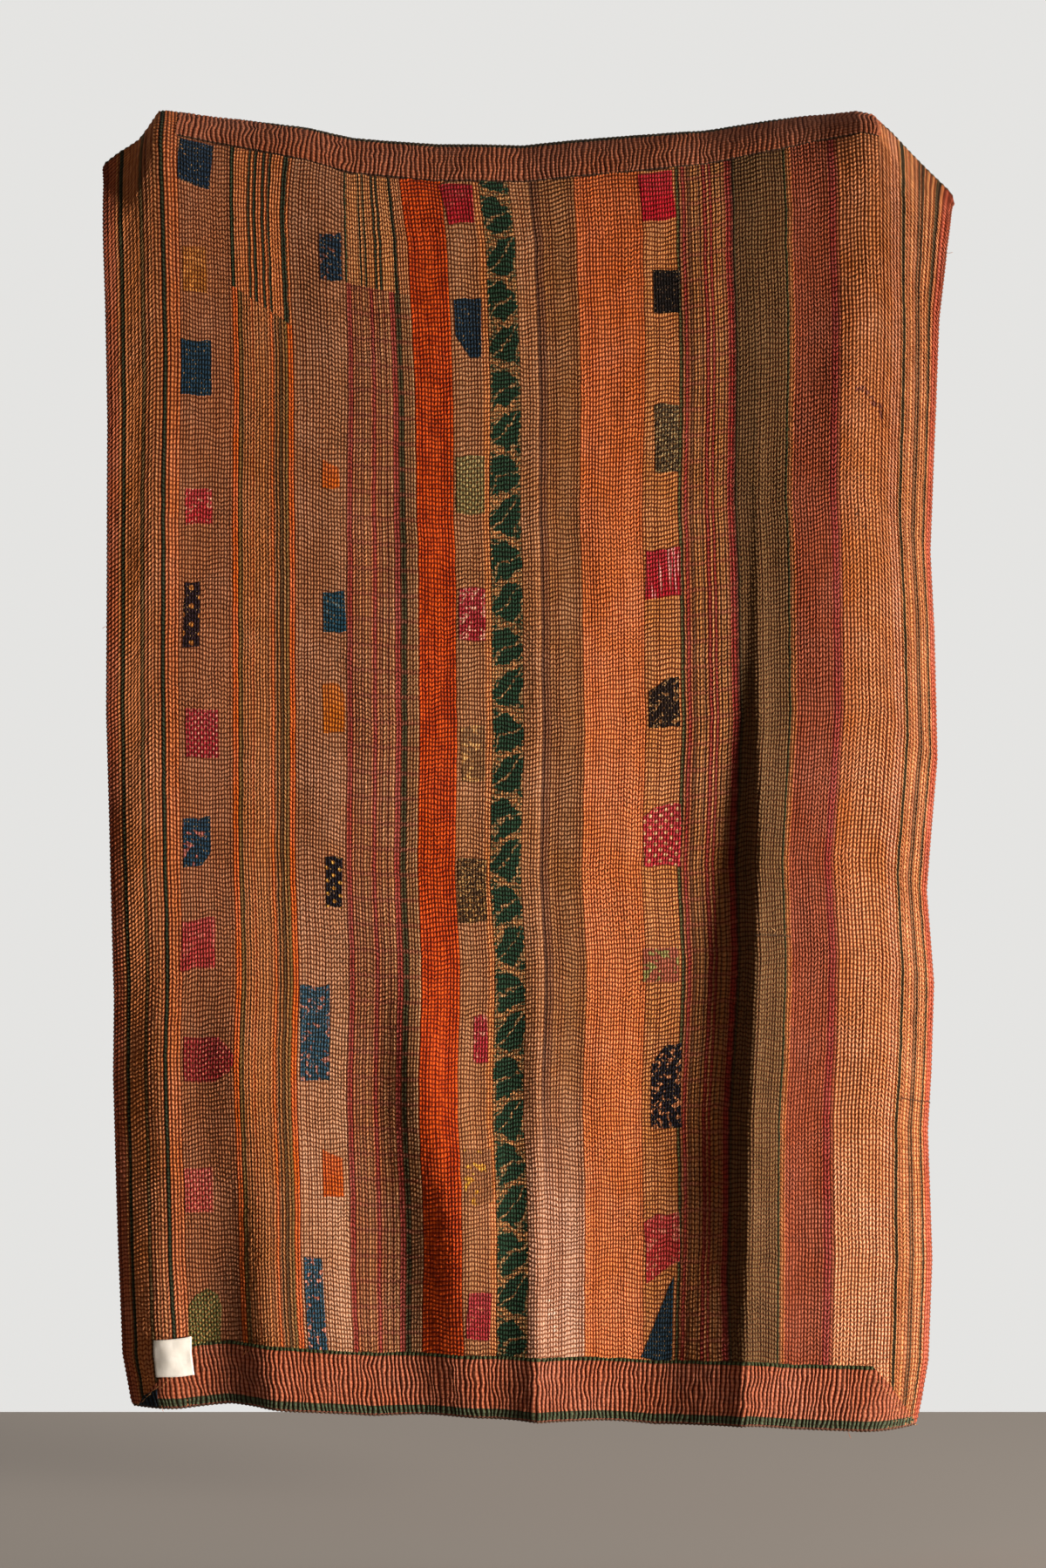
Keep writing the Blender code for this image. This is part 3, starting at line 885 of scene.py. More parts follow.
# Leaves: space between two, half their width, how far they slant to and fro as a share of
# the distance aside, how far their edges stray, and how deep their notches are
LEAF_SPACE = 0.0715
LEAF_HALF_WIDTH = 0.0250
LEAF_SLANT = 0.55
LEAF_STRAY = 0.034
NOTCH_DEPTH = 0.020


def leaves(ground, leaf, vein, middle):
    """Paint of a column of broad ragged leaves, with veins and squiggles, on a plain ground."""
    def paint(tree, cloth):
        across, down, _ = add(tree, "SeparateXYZ", {0: cloth})
        ragged = add(tree, "TexNoise", {"Vector": cloth, "Scale": LEAF_HUMPS, "Detail": 3.0,
                                        "Roughness": 0.65})[0]
        side = add(tree, "Math", {0: across, 1: middle}, operation="SUBTRACT")[0]
        swing = add(tree, "Math", {0: down, 1: LEAF_SPACE}, operation="PINGPONG")[0]
        swing = add(tree, "MapRange", {0: swing, 1: 0.25 * LEAF_SPACE, 2: 0.75 * LEAF_SPACE,
                                       3: -LEAF_SLANT, 4: LEAF_SLANT})[0]
        slope = add(tree, "Math", {0: side, 1: swing, 2: down}, operation="MULTIPLY_ADD")[0]
        slope = add(tree, "Math", {0: ragged, 1: LEAF_STRAY, 2: slope}, operation="MULTIPLY_ADD")[0]
        gap = add(tree, "Math", {0: slope, 1: LEAF_SPACE / 2}, operation="PINGPONG")[0]
        edge = add(tree, "MapRange", {0: gap, 1: 0.0040, 2: 0.014, 3: 0.0, 4: LEAF_HALF_WIDTH},
                   interpolation_type="SMOOTHSTEP")[0]
        notches = add(tree, "TexNoise", {"Vector": cloth, "Scale": NOTCH_HUMPS, "Detail": 1.0})[0]
        edge = add(tree, "Math", {0: notches, 1: NOTCH_DEPTH, 2: edge}, operation="MULTIPLY_ADD")[0]
        edge = add(tree, "Math", {0: edge, 1: NOTCH_DEPTH / 2}, operation="SUBTRACT")[0]
        beside = add(tree, "Math", {0: side}, operation="ABSOLUTE")[0]
        inside = add(tree, "Math", {0: beside, 1: edge}, operation="LESS_THAN")[0]
        rib = add(tree, "Math", {0: side, 1: 0.9, 2: slope}, operation="MULTIPLY_ADD")[0]
        rib = add(tree, "Math", {0: rib, 1: LEAF_SPACE / 4}, operation="PINGPONG")[0]
        rib = add(tree, "MapRange", {0: rib, 1: 0.0017, 2: 0.0032, 3: 0.95, 4: 0.0})[0]
        broken = add(tree, "MapRange", {0: notches, 1: 0.40, 2: 0.50})[0]
        rib = add(tree, "Math", {0: rib, 1: broken}, operation="MULTIPLY")[0]
        green = add(tree, "Mix", {0: rib, 6: hue(leaf), 7: hue(vein)}, data_type="RGBA")[2]
        squiggle = add(tree, "TexNoise", {"Vector": cloth, "Scale": SQUIGGLE_HUMPS, "Detail": 1.0,
                                          "Distortion": 1.8})[0]
        squiggle = add(tree, "Math", {0: squiggle, 1: 0.5}, operation="SUBTRACT")[0]
        squiggle = add(tree, "Math", {0: squiggle}, operation="ABSOLUTE")[0]
        squiggle = add(tree, "MapRange", {0: squiggle, 1: 0.055, 2: 0.070, 3: 0.85, 4: 0.0})[0]
        base = add(tree, "Mix", {0: squiggle, 6: hue(ground), 7: hue(leaf)}, data_type="RGBA")[2]
        return add(tree, "Mix", {0: inside, 6: base, 7: green}, data_type="RGBA")[2]
    return paint


def painted_light_downward(upper, lower, start, end):
    """Paint of one cloth that turns slowly paler down its length: painted light for the brighter lower
    part.
    """
    def paint(tree, cloth):
        down = add(tree, "SeparateXYZ", {0: cloth})[1]
        lower_share = add(tree, "MapRange", {0: down, 1: start, 2: end},
                          interpolation_type="SMOOTHSTEP")[0]
        return add(tree, "Mix", {0: lower_share, 6: upper(tree, cloth), 7: lower(tree, cloth)},
                   data_type="RGBA")[2]
    return paint


def plain(code):
    """Paint of one dye, a little uneven."""
    def paint(tree, cloth):
        uneven = add(tree, "TexNoise", {"Vector": cloth, "Scale": DYE_HUMPS, "Detail": 4.0})[0]
        darker = add(tree, "HueSaturation", {"Value": 0.86, "Color": hue(code)})[0]
        return add(tree, "Mix", {0: uneven, 6: hue(code), 7: darker}, data_type="RGBA")[2]
    return paint


def dotted(ground, dot, space, size):
    """Paint of small printed dots in staggered rows."""
    def paint(tree, cloth):
        turned = add(tree, "VectorRotate", {"Vector": cloth, "Angle": math.radians(45.0)},
                     rotation_type="Z_AXIS")[0]
        spot = add(tree, "VectorMath", {0: turned, 1: (1.0 / space,) * 3}, operation="MULTIPLY")[0]
        spot = add(tree, "VectorMath", {0: spot}, operation="FRACTION")[0]
        away = add(tree, "VectorMath", {0: spot, 1: (0.5, 0.5, 0.0)}, operation="DISTANCE")[1]
        mark = add(tree, "MapRange", {0: away, 1: size, 2: size + 0.08, 3: 0.9, 4: 0.0})[0]
        return add(tree, "Mix", {0: mark, 6: plain(ground)(tree, cloth), 7: hue(dot)},
                   data_type="RGBA")[2]
    return paint


def marked(ground, mark, scale, amount, stretch=1.0):
    """Paint of scattered printed marks: how many to the metre, and the share they cover."""
    def paint(tree, cloth):
        spot = add(tree, "VectorMath", {0: cloth, 1: (1.0, stretch, 1.0)}, operation="MULTIPLY")[0]
        noise = add(tree, "TexNoise", {"Vector": spot, "Scale": scale, "Detail": 1.5,
                                       "Distortion": 1.2})[0]
        cover = add(tree, "MapRange", {0: noise, 1: 1.0 - amount, 2: 1.04 - amount})[0]
        return add(tree, "Mix", {0: cover, 6: plain(ground)(tree, cloth), 7: hue(mark)},
                   data_type="RGBA")[2]
    return paint


# Stripes of the long cloths: where each ends in millimetres, its colour
BORDER_LEFT = (
    (4, "#8a4630"), (19, "#b0603c"), (24, "#be7c48"), (30, "#343622"), (57, "#bc7440"),
    (63, "#665030"), (68, "#b47044"), (72, "#9c5f3a"), (77, "#be7c4c"), (81, "#a8653c"),
    (86, "#be7c4c"), (92, "#a8653c"), (99, "#2f3423"), (121, "#c0703f"),
)
BORDER_RIGHT = (
    (4, "#cc8a58"), (11, "#453c26"), (17, "#cc8a58"), (20, "#a86440"), (28, "#cc8a58"),
    (36, "#b87850"), (39, "#5e4630"), (42, "#a87850"), (46, "#5e4630"), (54, "#cc8a58"),
    (58, "#a86440"), (65, "#cc8a58"), (71, "#4c3e28"), (76, "#cc8052"), (90, "#b85a40"),
)
PANEL = (
    (9, "#cf6420"), (16, "#75592f"), (18, "#5c4428"), (24, "#b07040"), (26, "#5a4028"),
    (33, "#b07040"), (36, "#c4662a"), (45, "#b07242"), (47, "#8a5a34"), (56, "#b67644"),
    (58, "#8a5a34"), (64, "#b87644"), (68, "#c4662a"), (72, "#a86a40"), (75, "#5a4028"),
    (80, "#9a683c"), (83, "#5c4428"), (88, "#94683c"), (93, "#75592f"), (103, "#cf6420"),
)
PANEL_TOP = (
    (7, "#34402c"), (31, "#c47a46"), (34, "#2f3626"), (41, "#c47a46"), (46, "#2f3626"),
    (55, "#bc7040"), (59, "#2f3626"), (66, "#bc7040"), (70, "#2f3626"), (89, "#c47a46"),
    (97, "#2f3626"), (103, "#c47a46"),
)
CHECK_RED = (
    (3, "#8a5038"), (11, "#983e34"), (14, "#b07048"), (20, "#905a3c"), (24, "#b07850"),
    (30, "#905a3c"), (36, "#b07850"), (41, "#94603e"), (44, "#b07048"), (52, "#983e34"),
    (56, "#b07048"), (62, "#905a3c"), (68, "#b07c54"), (74, "#905a3c"), (82, "#b07c54"),
    (90, "#983e34"), (93, "#8a5038"), (101, "#46412a"), (116, "#966c48"), (121, "#b08862"),
)
CHECK_TOP = (
    (4, "#34402c"), (28, "#c08450"), (32, "#2f3626"), (38, "#c08450"), (42, "#2f3626"),
    (57, "#b87c4a"), (61, "#2f3626"), (66, "#c08450"), (70, "#2f3626"), (94, "#c08450"),
    (100, "#2f3626"), (121, "#b87c50"),
)
CHECK_TAN = (
    (3, "#5a3c24"), (6, "#a4643c"), (13, "#8e3428"), (17, "#a06840"), (20, "#6a4428"),
    (25, "#a87040"), (28, "#744a2a"), (34, "#a87040"), (37, "#6a4428"), (41, "#a87040"),
    (49, "#8e3428"), (52, "#b07c4c"), (57, "#8e3428"), (62, "#a87040"), (65, "#6a4428"),
    (71, "#a87040"), (74, "#744a2a"), (80, "#a06840"), (90, "#8e3028"), (93, "#5a2c20"),
)
BROWN_GREY = ((51, "#aa764e"), (62, "#c8824a"))
TAN_PATCHED = ((62, "#be7c44"), (66, "#54502f"))
OLIVE = ((4, "#4a3c26"), (34, "#6a4e30"), (86, "#745636"), (90, "#363a22"), (96, "#a0683c"))
TERRACOTTA = ((3, "#b46c38"), (66, "#984e32"), (78, "#923a30"), (83, "#984e32"))
ORANGE_TAN = ((20, "#b26a38"), (78, "#c07a48"), (92, "#c88660"))
# The brown strip's dark line at 31 to 36 mm is a painted crease shadow, and its paler cloth to the
# left and darker cloth to the right are painted light and shade beside the crease
BROWN_AND_PAINTED_CREASE = ((31, "#b07a50"), (36, "#5e3c28"), (44, "#84583a"), (99, "#9a683e"))

# Paint of each strip, share of it that wear has faded; strips that turn paler downward carry painted
# light
STRIP_PAINT = {
    "left_border": (striped(BORDER_LEFT), 0.30),
    "patched_mauve": (plain("#a46a46"), 0.30),
    "striped_panel": (joined(striped(PANEL_TOP), striped(PANEL), 0.335, 0.45), 0.25),
    "patched_brown": (painted_light_downward(plain("#aa7450"), plain("#be8c6a"), 1.2, 1.7), 0.45),
    "red_check": (joined(striped(CHECK_TOP), checked(CHECK_RED, "#8c4a3c", 0.021), 0.288, 0.10),
                  0.30),
    "orange_red": (marked("#d05010", "#b23e08", 55, 0.50, 0.5), 0.04),
    "patched_grey_brown": (striped(BROWN_GREY), 0.30),
    "leaf_print": (leaves("#c08a58", "#243f2e", "#b08a60", 0.0275), 0.05),
    "plain_brown": (painted_light_downward(striped(BROWN_AND_PAINTED_CREASE), plain("#c4947a"), 1.5, 1.9), 0.40),
    "plain_orange": (painted_light_downward(plain("#ce6c32"), plain("#da7e46"), 0.1, 1.2), 0.25),
    "patched_tan": (striped(TAN_PATCHED), 0.30),
    "tan_check": (checked(CHECK_TAN, "#96503c", 0.021), 0.25),
    "olive": (striped(OLIVE), 0.20),
    "terracotta": (striped(TERRACOTTA), 0.30),
    "orange_tan": (painted_light_downward(striped(ORANGE_TAN), plain("#d8966c"), 1.3, 2.0), 0.45),
    "right_border": (striped(BORDER_RIGHT), 0.25),
}

# Stains: strip, colour, and for each blot its place in the photograph's pixels and
# its radius in metres
STAINS = (
    ("orange_tan", "#54263c", (
        (982, 448, 0.004), (989, 447, 0.006), (996, 451, 0.005), (1001, 456, 0.004),
        (1003, 463, 0.006), (1010, 465, 0.005), (1009, 473, 0.005), (1011, 480, 0.004))),
    ("orange_tan", "#4a3838", (
        (985, 590, 0.0025), (1000, 596, 0.003), (993, 604, 0.004), (996, 618, 0.0025),
        (988, 545, 0.0025), (991, 574, 0.002))),
    ("plain_brown", "#e6cdbc", ((630, 1492, 0.005), (632, 1508, 0.009), (635, 1524, 0.005))),
    ("plain_brown", "#8a6450", ((632, 1509, 0.004),)),
)

# Sewing threads: name, colour, half thickness in metres, and the runs of stitches.
# A run: first and last place in the photograph's pixels, number of stitches, and how
# far one stitch goes across and down in pixels
THREADS = (
    ("mitre_stitches", "#b9824e", 0.00045, (
        ((224, 1552), (184, 1590), 15, (3.0, 1.5)), ((182, 1590), (160, 1611), 9, (-3.6, 3.4)),
        ((1001, 1576), (1054, 1638), 16, (-3.0, 1.0)), ((203, 160), (209, 176), 4, (3.0, 1.0)))),
    ("dark_seam_stitches", "#3a2a1e", 0.00050, (
        ((226, 1550), (300, 1554), 22, (2.0, 3.6)), ((866, 1071), (904, 1072), 13, (3.2, 3.0)),
        ((1031, 1259), (1065, 1263), 11, (3.4, 2.2)))),
    ("tan_darning", "#b08458", 0.00045, (
        ((868, 1067), (902, 1075), 12, (1.8, -3.4)), ((274, 1549), (300, 1556), 6, (3.0, -4.6)),
        ((884, 1064), (886, 1066), 3, (3.0, 3.0)))),
    ("loose_threads", "#a8643c", 0.00040, (
        ((1091, 291), (1091, 291), 1, (7.0, -1.5)), ((121, 718), (121, 718), 1, (-5.0, 3.0)),
        ((285, 1545), (285, 1545), 1, (-6.0, 11.0)), ((298, 1554), (298, 1554), 1, (4.0, 6.0)),
        ((972, 1644), (972, 1644), 1, (4.0, 9.0)), ((186, 1612), (186, 1612), 1, (2.0, 8.0)))),
)

# Scraps sewn on: name, paint, thread that shows, and corners as the viewer sees
# them in the photograph's pixels, clockwise
SCRAPS = (
    ("scrap_01_navy", plain("#20344a"), "#b08a60",
     ((206, 157), (245, 167), (240, 216), (204, 204))),
    ("scrap_02_ochre", marked("#a86a2c", "#c48442", 60, 0.5), None,
     ((209, 281), (237, 283), (238, 336), (209, 333))),
    ("scrap_03_navy", plain("#1f3a50"), "#b08a60",
     ((207, 389), (243, 390), (243, 454), (208, 453))),
    ("scrap_04_red_marks", marked("#b43438", "#d8a088", 95, 0.42), None,
     ((212, 561), (243, 560), (244, 601), (213, 602))),
    ("scrap_05_black_dots", dotted("#2c1d24", "#b87a34", 0.021, 0.16), "#b08a60",
     ((211, 668), (228, 667), (229, 742), (210, 743))),
    ("scrap_06_red_dots", dotted("#a02c34", "#cc8c7c", 0.0085, 0.20), None,
     ((213, 814), (249, 813), (251, 869), (214, 870))),
    ("scrap_07_blue", marked("#243f56", "#a8645c", 55, 0.44), "#b08a60",
     ((209, 938), (242, 937), (241, 975), (232, 993), (210, 996))),
    ("scrap_08_red", marked("#b0403e", "#c2645a", 60, 0.45), None,
     ((208, 1059), (247, 1053), (246, 1111), (208, 1113))),
    ("scrap_09_red_round", dotted("#983030", "#c0705c", 0.0085, 0.20), None,
     ((211, 1189), (250, 1190), (264, 1203), (268, 1216), (262, 1230), (246, 1242), (210, 1240))),
    ("scrap_10_red_check", dotted("#b04640", "#d27a6a", 0.009, 0.34), None,
     ((212, 1340), (244, 1339), (244, 1392), (213, 1391))),
    ("scrap_11_green_knit", dotted("#5c6238", "#a88a52", 0.0065, 0.30), "#c09a68",
     ((216, 1500), (226, 1484), (238, 1479), (250, 1486), (254, 1500), (253, 1547), (217, 1548))),
    ("scrap_12_navy_marks", marked("#22364a", "#a06a54", 80, 0.42), "#b08a60",
     ((367, 267), (392, 267), (393, 321), (368, 322))),
    ("scrap_13_orange", plain("#c8641a"), None,
     ((370, 528), (389, 536), (390, 560), (370, 559))),
    ("scrap_14_teal", marked("#22465a", "#5a7480", 60, 0.40), "#b08a60",
     ((371, 680), (396, 678), (397, 724), (372, 725))),
    ("scrap_15_orange", plain("#c46e1c"), None,
     ((370, 785), (388, 786), (395, 797), (395, 840), (371, 841))),
    ("scrap_16_black_dots", dotted("#1e1820", "#c8963c", 0.015, 0.16), "#b08a60",
     ((374, 983), (392, 984), (393, 1041), (375, 1040))),
    ("scrap_17_blue_marks", marked("#34546a", "#b0786c", 75, 0.42), "#9a8a80",
     ((344, 1130), (378, 1129), (379, 1240), (345, 1241))),
    ("scrap_18_orange", plain("#cc5f1c"), None,
     ((370, 1318), (393, 1330), (394, 1373), (371, 1374))),
    ("scrap_19_blue_marks", marked("#34546a", "#d08a78", 80, 0.42), "#9a8a80",
     ((348, 1443), (369, 1443), (375, 1551), (354, 1549))),
    ("scrap_20_red", marked("#b0222c", "#c44a48", 60, 0.42), None,
     ((503, 213), (541, 212), (544, 255), (516, 257))),
    ("scrap_21_navy", plain("#1f3346"), "#b08a60",
     ((521, 343), (552, 342), (552, 411), (539, 411), (523, 386))),
    ("scrap_22_olive_knit", dotted("#77704a", "#a89664", 0.0085, 0.34), None,
     ((523, 524), (556, 523), (556, 588), (524, 589))),
    ("scrap_23_red_marks", marked("#a83038", "#dba090", 85, 0.46), None,
     ((526, 676), (556, 675), (557, 734), (527, 735))),
    ("scrap_24_cream", marked("#906c4a", "#cfa468", 55, 0.48), None,
     ((529, 834), (556, 833), (557, 896), (530, 897))),
    ("scrap_25_speckle", marked("#4a3826", "#a88452", 190, 0.48), None,
     ((526, 986), (558, 985), (559, 1057), (527, 1058))),
    ("scrap_26_red", marked("#a83038", "#cf8a7c", 80, 0.44), None,
     ((543, 1165), (559, 1164), (560, 1219), (544, 1218))),
    ("scrap_27_mustard", marked("#9c6c48", "#c8962e", 50, 0.46), None,
     ((532, 1319), (564, 1318), (565, 1379), (532, 1378))),
    ("scrap_28_red", marked("#a8343a", "#c46a5e", 70, 0.42), None,
     ((538, 1483), (565, 1484), (562, 1538), (534, 1534))),
    ("scrap_29_bright_red", plain("#c01c2c"), None,
     ((732, 200), (771, 195), (776, 249), (737, 254))),
    ("scrap_30_black", marked("#191414", "#3a2c24", 120, 0.42), "#a8845c",
     ((749, 310), (779, 309), (780, 359), (750, 360))),
    ("scrap_31_speckle", marked("#4c4030", "#a08a60", 210, 0.48), None,
     ((751, 465), (779, 464), (780, 542), (752, 543))),
    ("scrap_32_red_lines", marked("#b4202e", "#dba0a0", 150, 0.42, 0.06), None,
     ((740, 632), (781, 628), (781, 683), (741, 689))),
    ("scrap_33_black_squiggles", marked("#261a16", "#b08a5c", 90, 0.43), "#a8845c",
     ((744, 794), (763, 778), (780, 776), (781, 834), (745, 835))),
    ("scrap_34_red_dots", dotted("#b8343c", "#dcb48c", 0.013, 0.20), None,
     ((738, 939), (752, 926), (780, 922), (781, 994), (739, 995))),
    ("scrap_35_faded", marked("#a8604a", "#949056", 50, 0.48), None,
     ((737, 1087), (778, 1086), (779, 1126), (738, 1127))),
    ("scrap_36_black_flowers", marked("#1c1a24", "#c88a60", 85, 0.44), "#a8845c",
     ((747, 1220), (765, 1198), (781, 1196), (782, 1293), (748, 1294))),
    ("scrap_37_red_stepped", marked("#b83c3a", "#cf7a68", 70, 0.44), None,
     ((739, 1403), (752, 1392), (780, 1391), (780, 1446), (742, 1471))),
    ("scrap_38_navy_corner", plain("#1f3648"), "#a8845c",
     ((773, 1466), (771, 1561), (735, 1557))),
)


# Bands: where each cloth ends in millimetres from the outer edge, its colour. The top
# band's outermost cloth is this much narrower near the corners, from one distance from the
# middle to another, which doesn't shift what lies further in than the last distance
# The top band's innermost dark cloth is a seam line that also carries painted shadow under the band's
# lower edge
TOP_BAND = ((15, "#4c4230"), (99, "#a05c3e"), (104, "#4a3428"))
BOTTOM_BAND = ((2, "#a85c4c"), (15, "#4a5440"), (96, "#aa6246"), (104, "#40492e"))
TOP_NARROWING = 0.015
NARROWING_FROM = 0.42
NARROWING_TO = 0.52
NARROWED_REACH = 0.06

# Corners of the bands, the label and the corner patch in the photograph's pixels
TOP_BAND_ENDS = ((200, 156), (1010, 146))
BOTTOM_BAND_SEAM = ((222, 1550), (1000, 1574))
BOTTOM_BAND_HEM = ((158, 1614), (1057, 1641))
LABEL_CORNERS = ((178, 1536), (220, 1532), (224, 1576), (181, 1579))
PATCH_CORNERS = ((181, 1593), (182, 1616), (158, 1615), (165, 1601))


def banded(table, narrowing=0.0):
    """Paint of strips along a band's outer edge, the outermost ending before the corners."""
    def paint(tree, cloth):
        along, away, _ = add(tree, "SeparateXYZ", {0: cloth})
        aside = add(tree, "Math", {0: along, 1: FLAT_WIDTH / 2}, operation="SUBTRACT")[0]
        aside = add(tree, "Math", {0: aside}, operation="ABSOLUTE")[0]
        aside = add(tree, "MapRange", {0: aside, 1: NARROWING_FROM, 2: NARROWING_TO, 3: 0.0,
                                       4: narrowing})[0]
        aside = add(tree, "MapRange", {0: away, 1: 0.0, 2: NARROWED_REACH, 3: aside, 4: 0.0})[0]
        away = add(tree, "Math", {0: away, 1: aside}, operation="ADD")[0]
        return stripes(tree, cloth, away, table, BAND_HUMPS, 1.4)
    return paint


def tape_finish():
    """White cotton tape: woven close and flat, a little soiled, with soft creases."""
    material, tree, shader = new_finish("white_cotton_tape", roughness=0.85, specular=0.25)
    cloth = add(tree, "Attribute", {}, attribute_name="cloth")[1]
    soil = add(tree, "TexNoise", {"Vector": cloth, "Scale": SOIL_HUMPS, "Detail": 4.0})[0]
    colour = add(tree, "Mix", {0: soil, 6: hue("#f6f3ee"), 7: hue("#e0d8cc")}, data_type="RGBA")[2]
    crease = add(tree, "TexNoise", {"Vector": cloth, "Scale": CREASE_HUMPS, "Detail": 2.0})[0]
    height = add(tree, "Math", {0: plain_weave(tree, cloth), 1: 0.05, 2: crease},
                 operation="MULTIPLY_ADD")[0]
    bump = add(tree, "Bump", {"Strength": 0.6, "Distance": TAPE_RELIEF, "Height": height})[0]
    tree.links.new(colour, shader.inputs["Base Color"])
    tree.links.new(bump, shader.inputs["Normal"])
    return material


def photo_place(across_pixels, down_pixels):
    """A place in the photograph, in metres across and up in the hanging plane."""
    return ((across_pixels - PHOTO_WIDTH / 2) * PIXEL,
            VIEW_HEIGHT - (down_pixels - PHOTO_HEIGHT / 2) * PIXEL)


def seen_corner(weave, *pixels):
    """The row and column of a weave that the viewer sees at a place in the photograph."""
    across, up = seen_place(weave.points)
    wanted_across, wanted_up = photo_place(*pixels)
    away = (across - wanted_across) ** 2 + (up - wanted_up) ** 2
    return np.unravel_index(np.argmin(away), away.shape)


def thread_place(weave, *pixels):
    """The point of the cloth nearest to where the viewer sees a place in the photograph."""
    spot = seen_corner(weave, *pixels)
    point, outward = weave.points[spot], weave.outward[spot]
    across, up = seen_place(point)
    wanted_across, wanted_up = photo_place(*pixels)
    nearest = np.clip((wanted_across - across, 0.0, wanted_up - up), -THREAD_REACH, THREAD_REACH)
    return point + nearest, outward


def stained(weave, paint, colour, blots):
    """Paint with blots that have soaked in, each ragged at its rim."""
    spots = [weave.cloth[seen_corner(weave, across, down)] for across, down, _ in blots]

    def stained_paint(tree, cloth):
        ground = paint(tree, cloth)
        ragged = add(tree, "TexNoise", {"Vector": cloth, "Scale": STAIN_HUMPS, "Detail": 2.0})[1]
        ragged = add(tree, "VectorMath", {0: ragged, 1: (0.5, 0.5, 0.5)}, operation="SUBTRACT")[0]
        place = add(tree, "VectorMath", {0: ragged, 1: (0.010, 0.010, 0.0), 2: cloth},
                    operation="MULTIPLY_ADD")[0]
        for spot, (_, _, radius) in zip(spots, blots):
            away = add(tree, "VectorMath", {0: place, 1: [float(value) for value in spot]},
                       operation="DISTANCE")[1]
            cover = add(tree, "MapRange", {0: away, 1: radius * 0.6, 2: radius, 3: 0.62, 4: 0.0})[0]
            ground = add(tree, "Mix", {0: cover, 6: ground, 7: hue(colour)}, data_type="RGBA")[2]
        return ground
    return stained_paint


def add_face(face, first):
    """The sewn strips of the face."""
    for index, (name, _, width, upright, _) in enumerate(STRIPS):
        paint, worn = STRIP_PAINT[name]
        weave = part_of(face, first[index], first[index + 1])
        weave.cloth[..., 0] = width * np.linspace(0.0, 1.0, weave.cloth.shape[1])
        for strip, colour, blots in STAINS:
            if strip == name:
                paint = stained(weave, paint, colour, blots)
        finish = quilt_finish("quilted_cotton_" + name, paint, worn=worn, upright=upright)
        piece = add_weave(name, weave, finish, facets=True)
        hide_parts("quilt_body")


def add_scraps(face):
    """The small scraps sewn on the strips."""
    for name, paint, thread, corners in SCRAPS:
        finish = quilt_finish("quilted_" + name, paint, worn=0.15, thread=thread)
        spots = [seen_corner(face, *corner) for corner in corners]
        piece = cut_piece(name, face, spots, SCRAP_LIFT, SCRAP_TURN, finish, facets=True)


def add_band(band, weave, upper, lower, finish):
    """One ridged band, cut between the ends of its upper and its lower edge."""
    last = weave.points.shape[0] - 1
    left, right = [seen_corner(weave, *spot)[1] for spot in upper]
    far_left, far_right = [seen_corner(weave, *spot)[1] for spot in lower]
    corners = ((0, left), (0, right), (last, far_right), (last, far_left))
    piece = cut_piece(band + "_cloth", weave, corners, 0.0, BAND_TURN, finish, centred=False,
                      facets=True)
    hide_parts(band)


def add_bands(rng):
    """The two ridged bands and the navy patch at the left end of the lower one."""
    top = ridged_band("top", TOP_RIDGE_HEIGHT, rng)
    finish = quilt_finish("ridged_cotton_dark_terracotta", banded(TOP_BAND, TOP_NARROWING),
                          ridged=True, upright=0.85)
    add_band("top_band", top, TOP_BAND_ENDS, TOP_BAND_ENDS, finish)
    hem = ridged_band("hem", HEM_RIDGE_HEIGHT, rng)
    finish = quilt_finish("ridged_cotton_terracotta", banded(BOTTOM_BAND), ridged=True, upright=1.25)
    add_band("bottom_band", hem, BOTTOM_BAND_SEAM, BOTTOM_BAND_HEM, finish)
    finish = quilt_finish("ridged_cotton_navy", plain("#22303c"), ridged=True, upright=1.25)
    spots = [seen_corner(hem, *spot) for spot in PATCH_CORNERS]
    piece = cut_piece("corner_patch_cloth", hem, spots, SCRAP_LIFT, SCRAP_TURN, finish)
    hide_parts("corner_patch")


def add_label(face):
    """The bare white label, sewn on a little turned."""
    corners = np.array([face.cloth[seen_corner(face, *spot)][:2] for spot in LABEL_CORNERS])
    share_down, share_along = np.meshgrid(*[np.linspace(0.0, 1.0, count) for count in LABEL_GRID],
                                          indexing="ij")
    upper = corners[0] + (corners[1] - corners[0]) * share_along[..., None]
    lower = corners[3] + (corners[2] - corners[3]) * share_along[..., None]
    place = upper + (lower - upper) * share_down[..., None]
    waves = np.sin(share_along * 9.0 + 2.0 * share_down) * np.sin(share_down * 7.0 + 1.0)
    puckers = np.cos(2.0 * np.pi * LABEL_STITCHES * share_down) * (2.0 * share_along - 1.0) ** 8
    lift = LABEL_LIFT + LABEL_WAVE * waves + LABEL_PUCKER * puckers
    points, outward = on_cloth(place[..., 1], place[..., 0], lift)
    cloth = laid_flat(place[..., 0], place[..., 1])
    piece = add_weave("label_tape", Weave(points, outward, cloth, cloth), tape_finish())
    thick = piece.modifiers.new("tape thickness", "SOLIDIFY")
    thick.thickness = LABEL_THICKNESS
    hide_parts("label")


def thread_finish(name, code):
    """Cotton sewing thread: matt, with a faint sheen from its twist."""
    material, _, shader = new_finish("cotton_thread_" + name, roughness=0.7, specular=0.3)
    shader.inputs["Base Color"].default_value = hue(code)
    return material


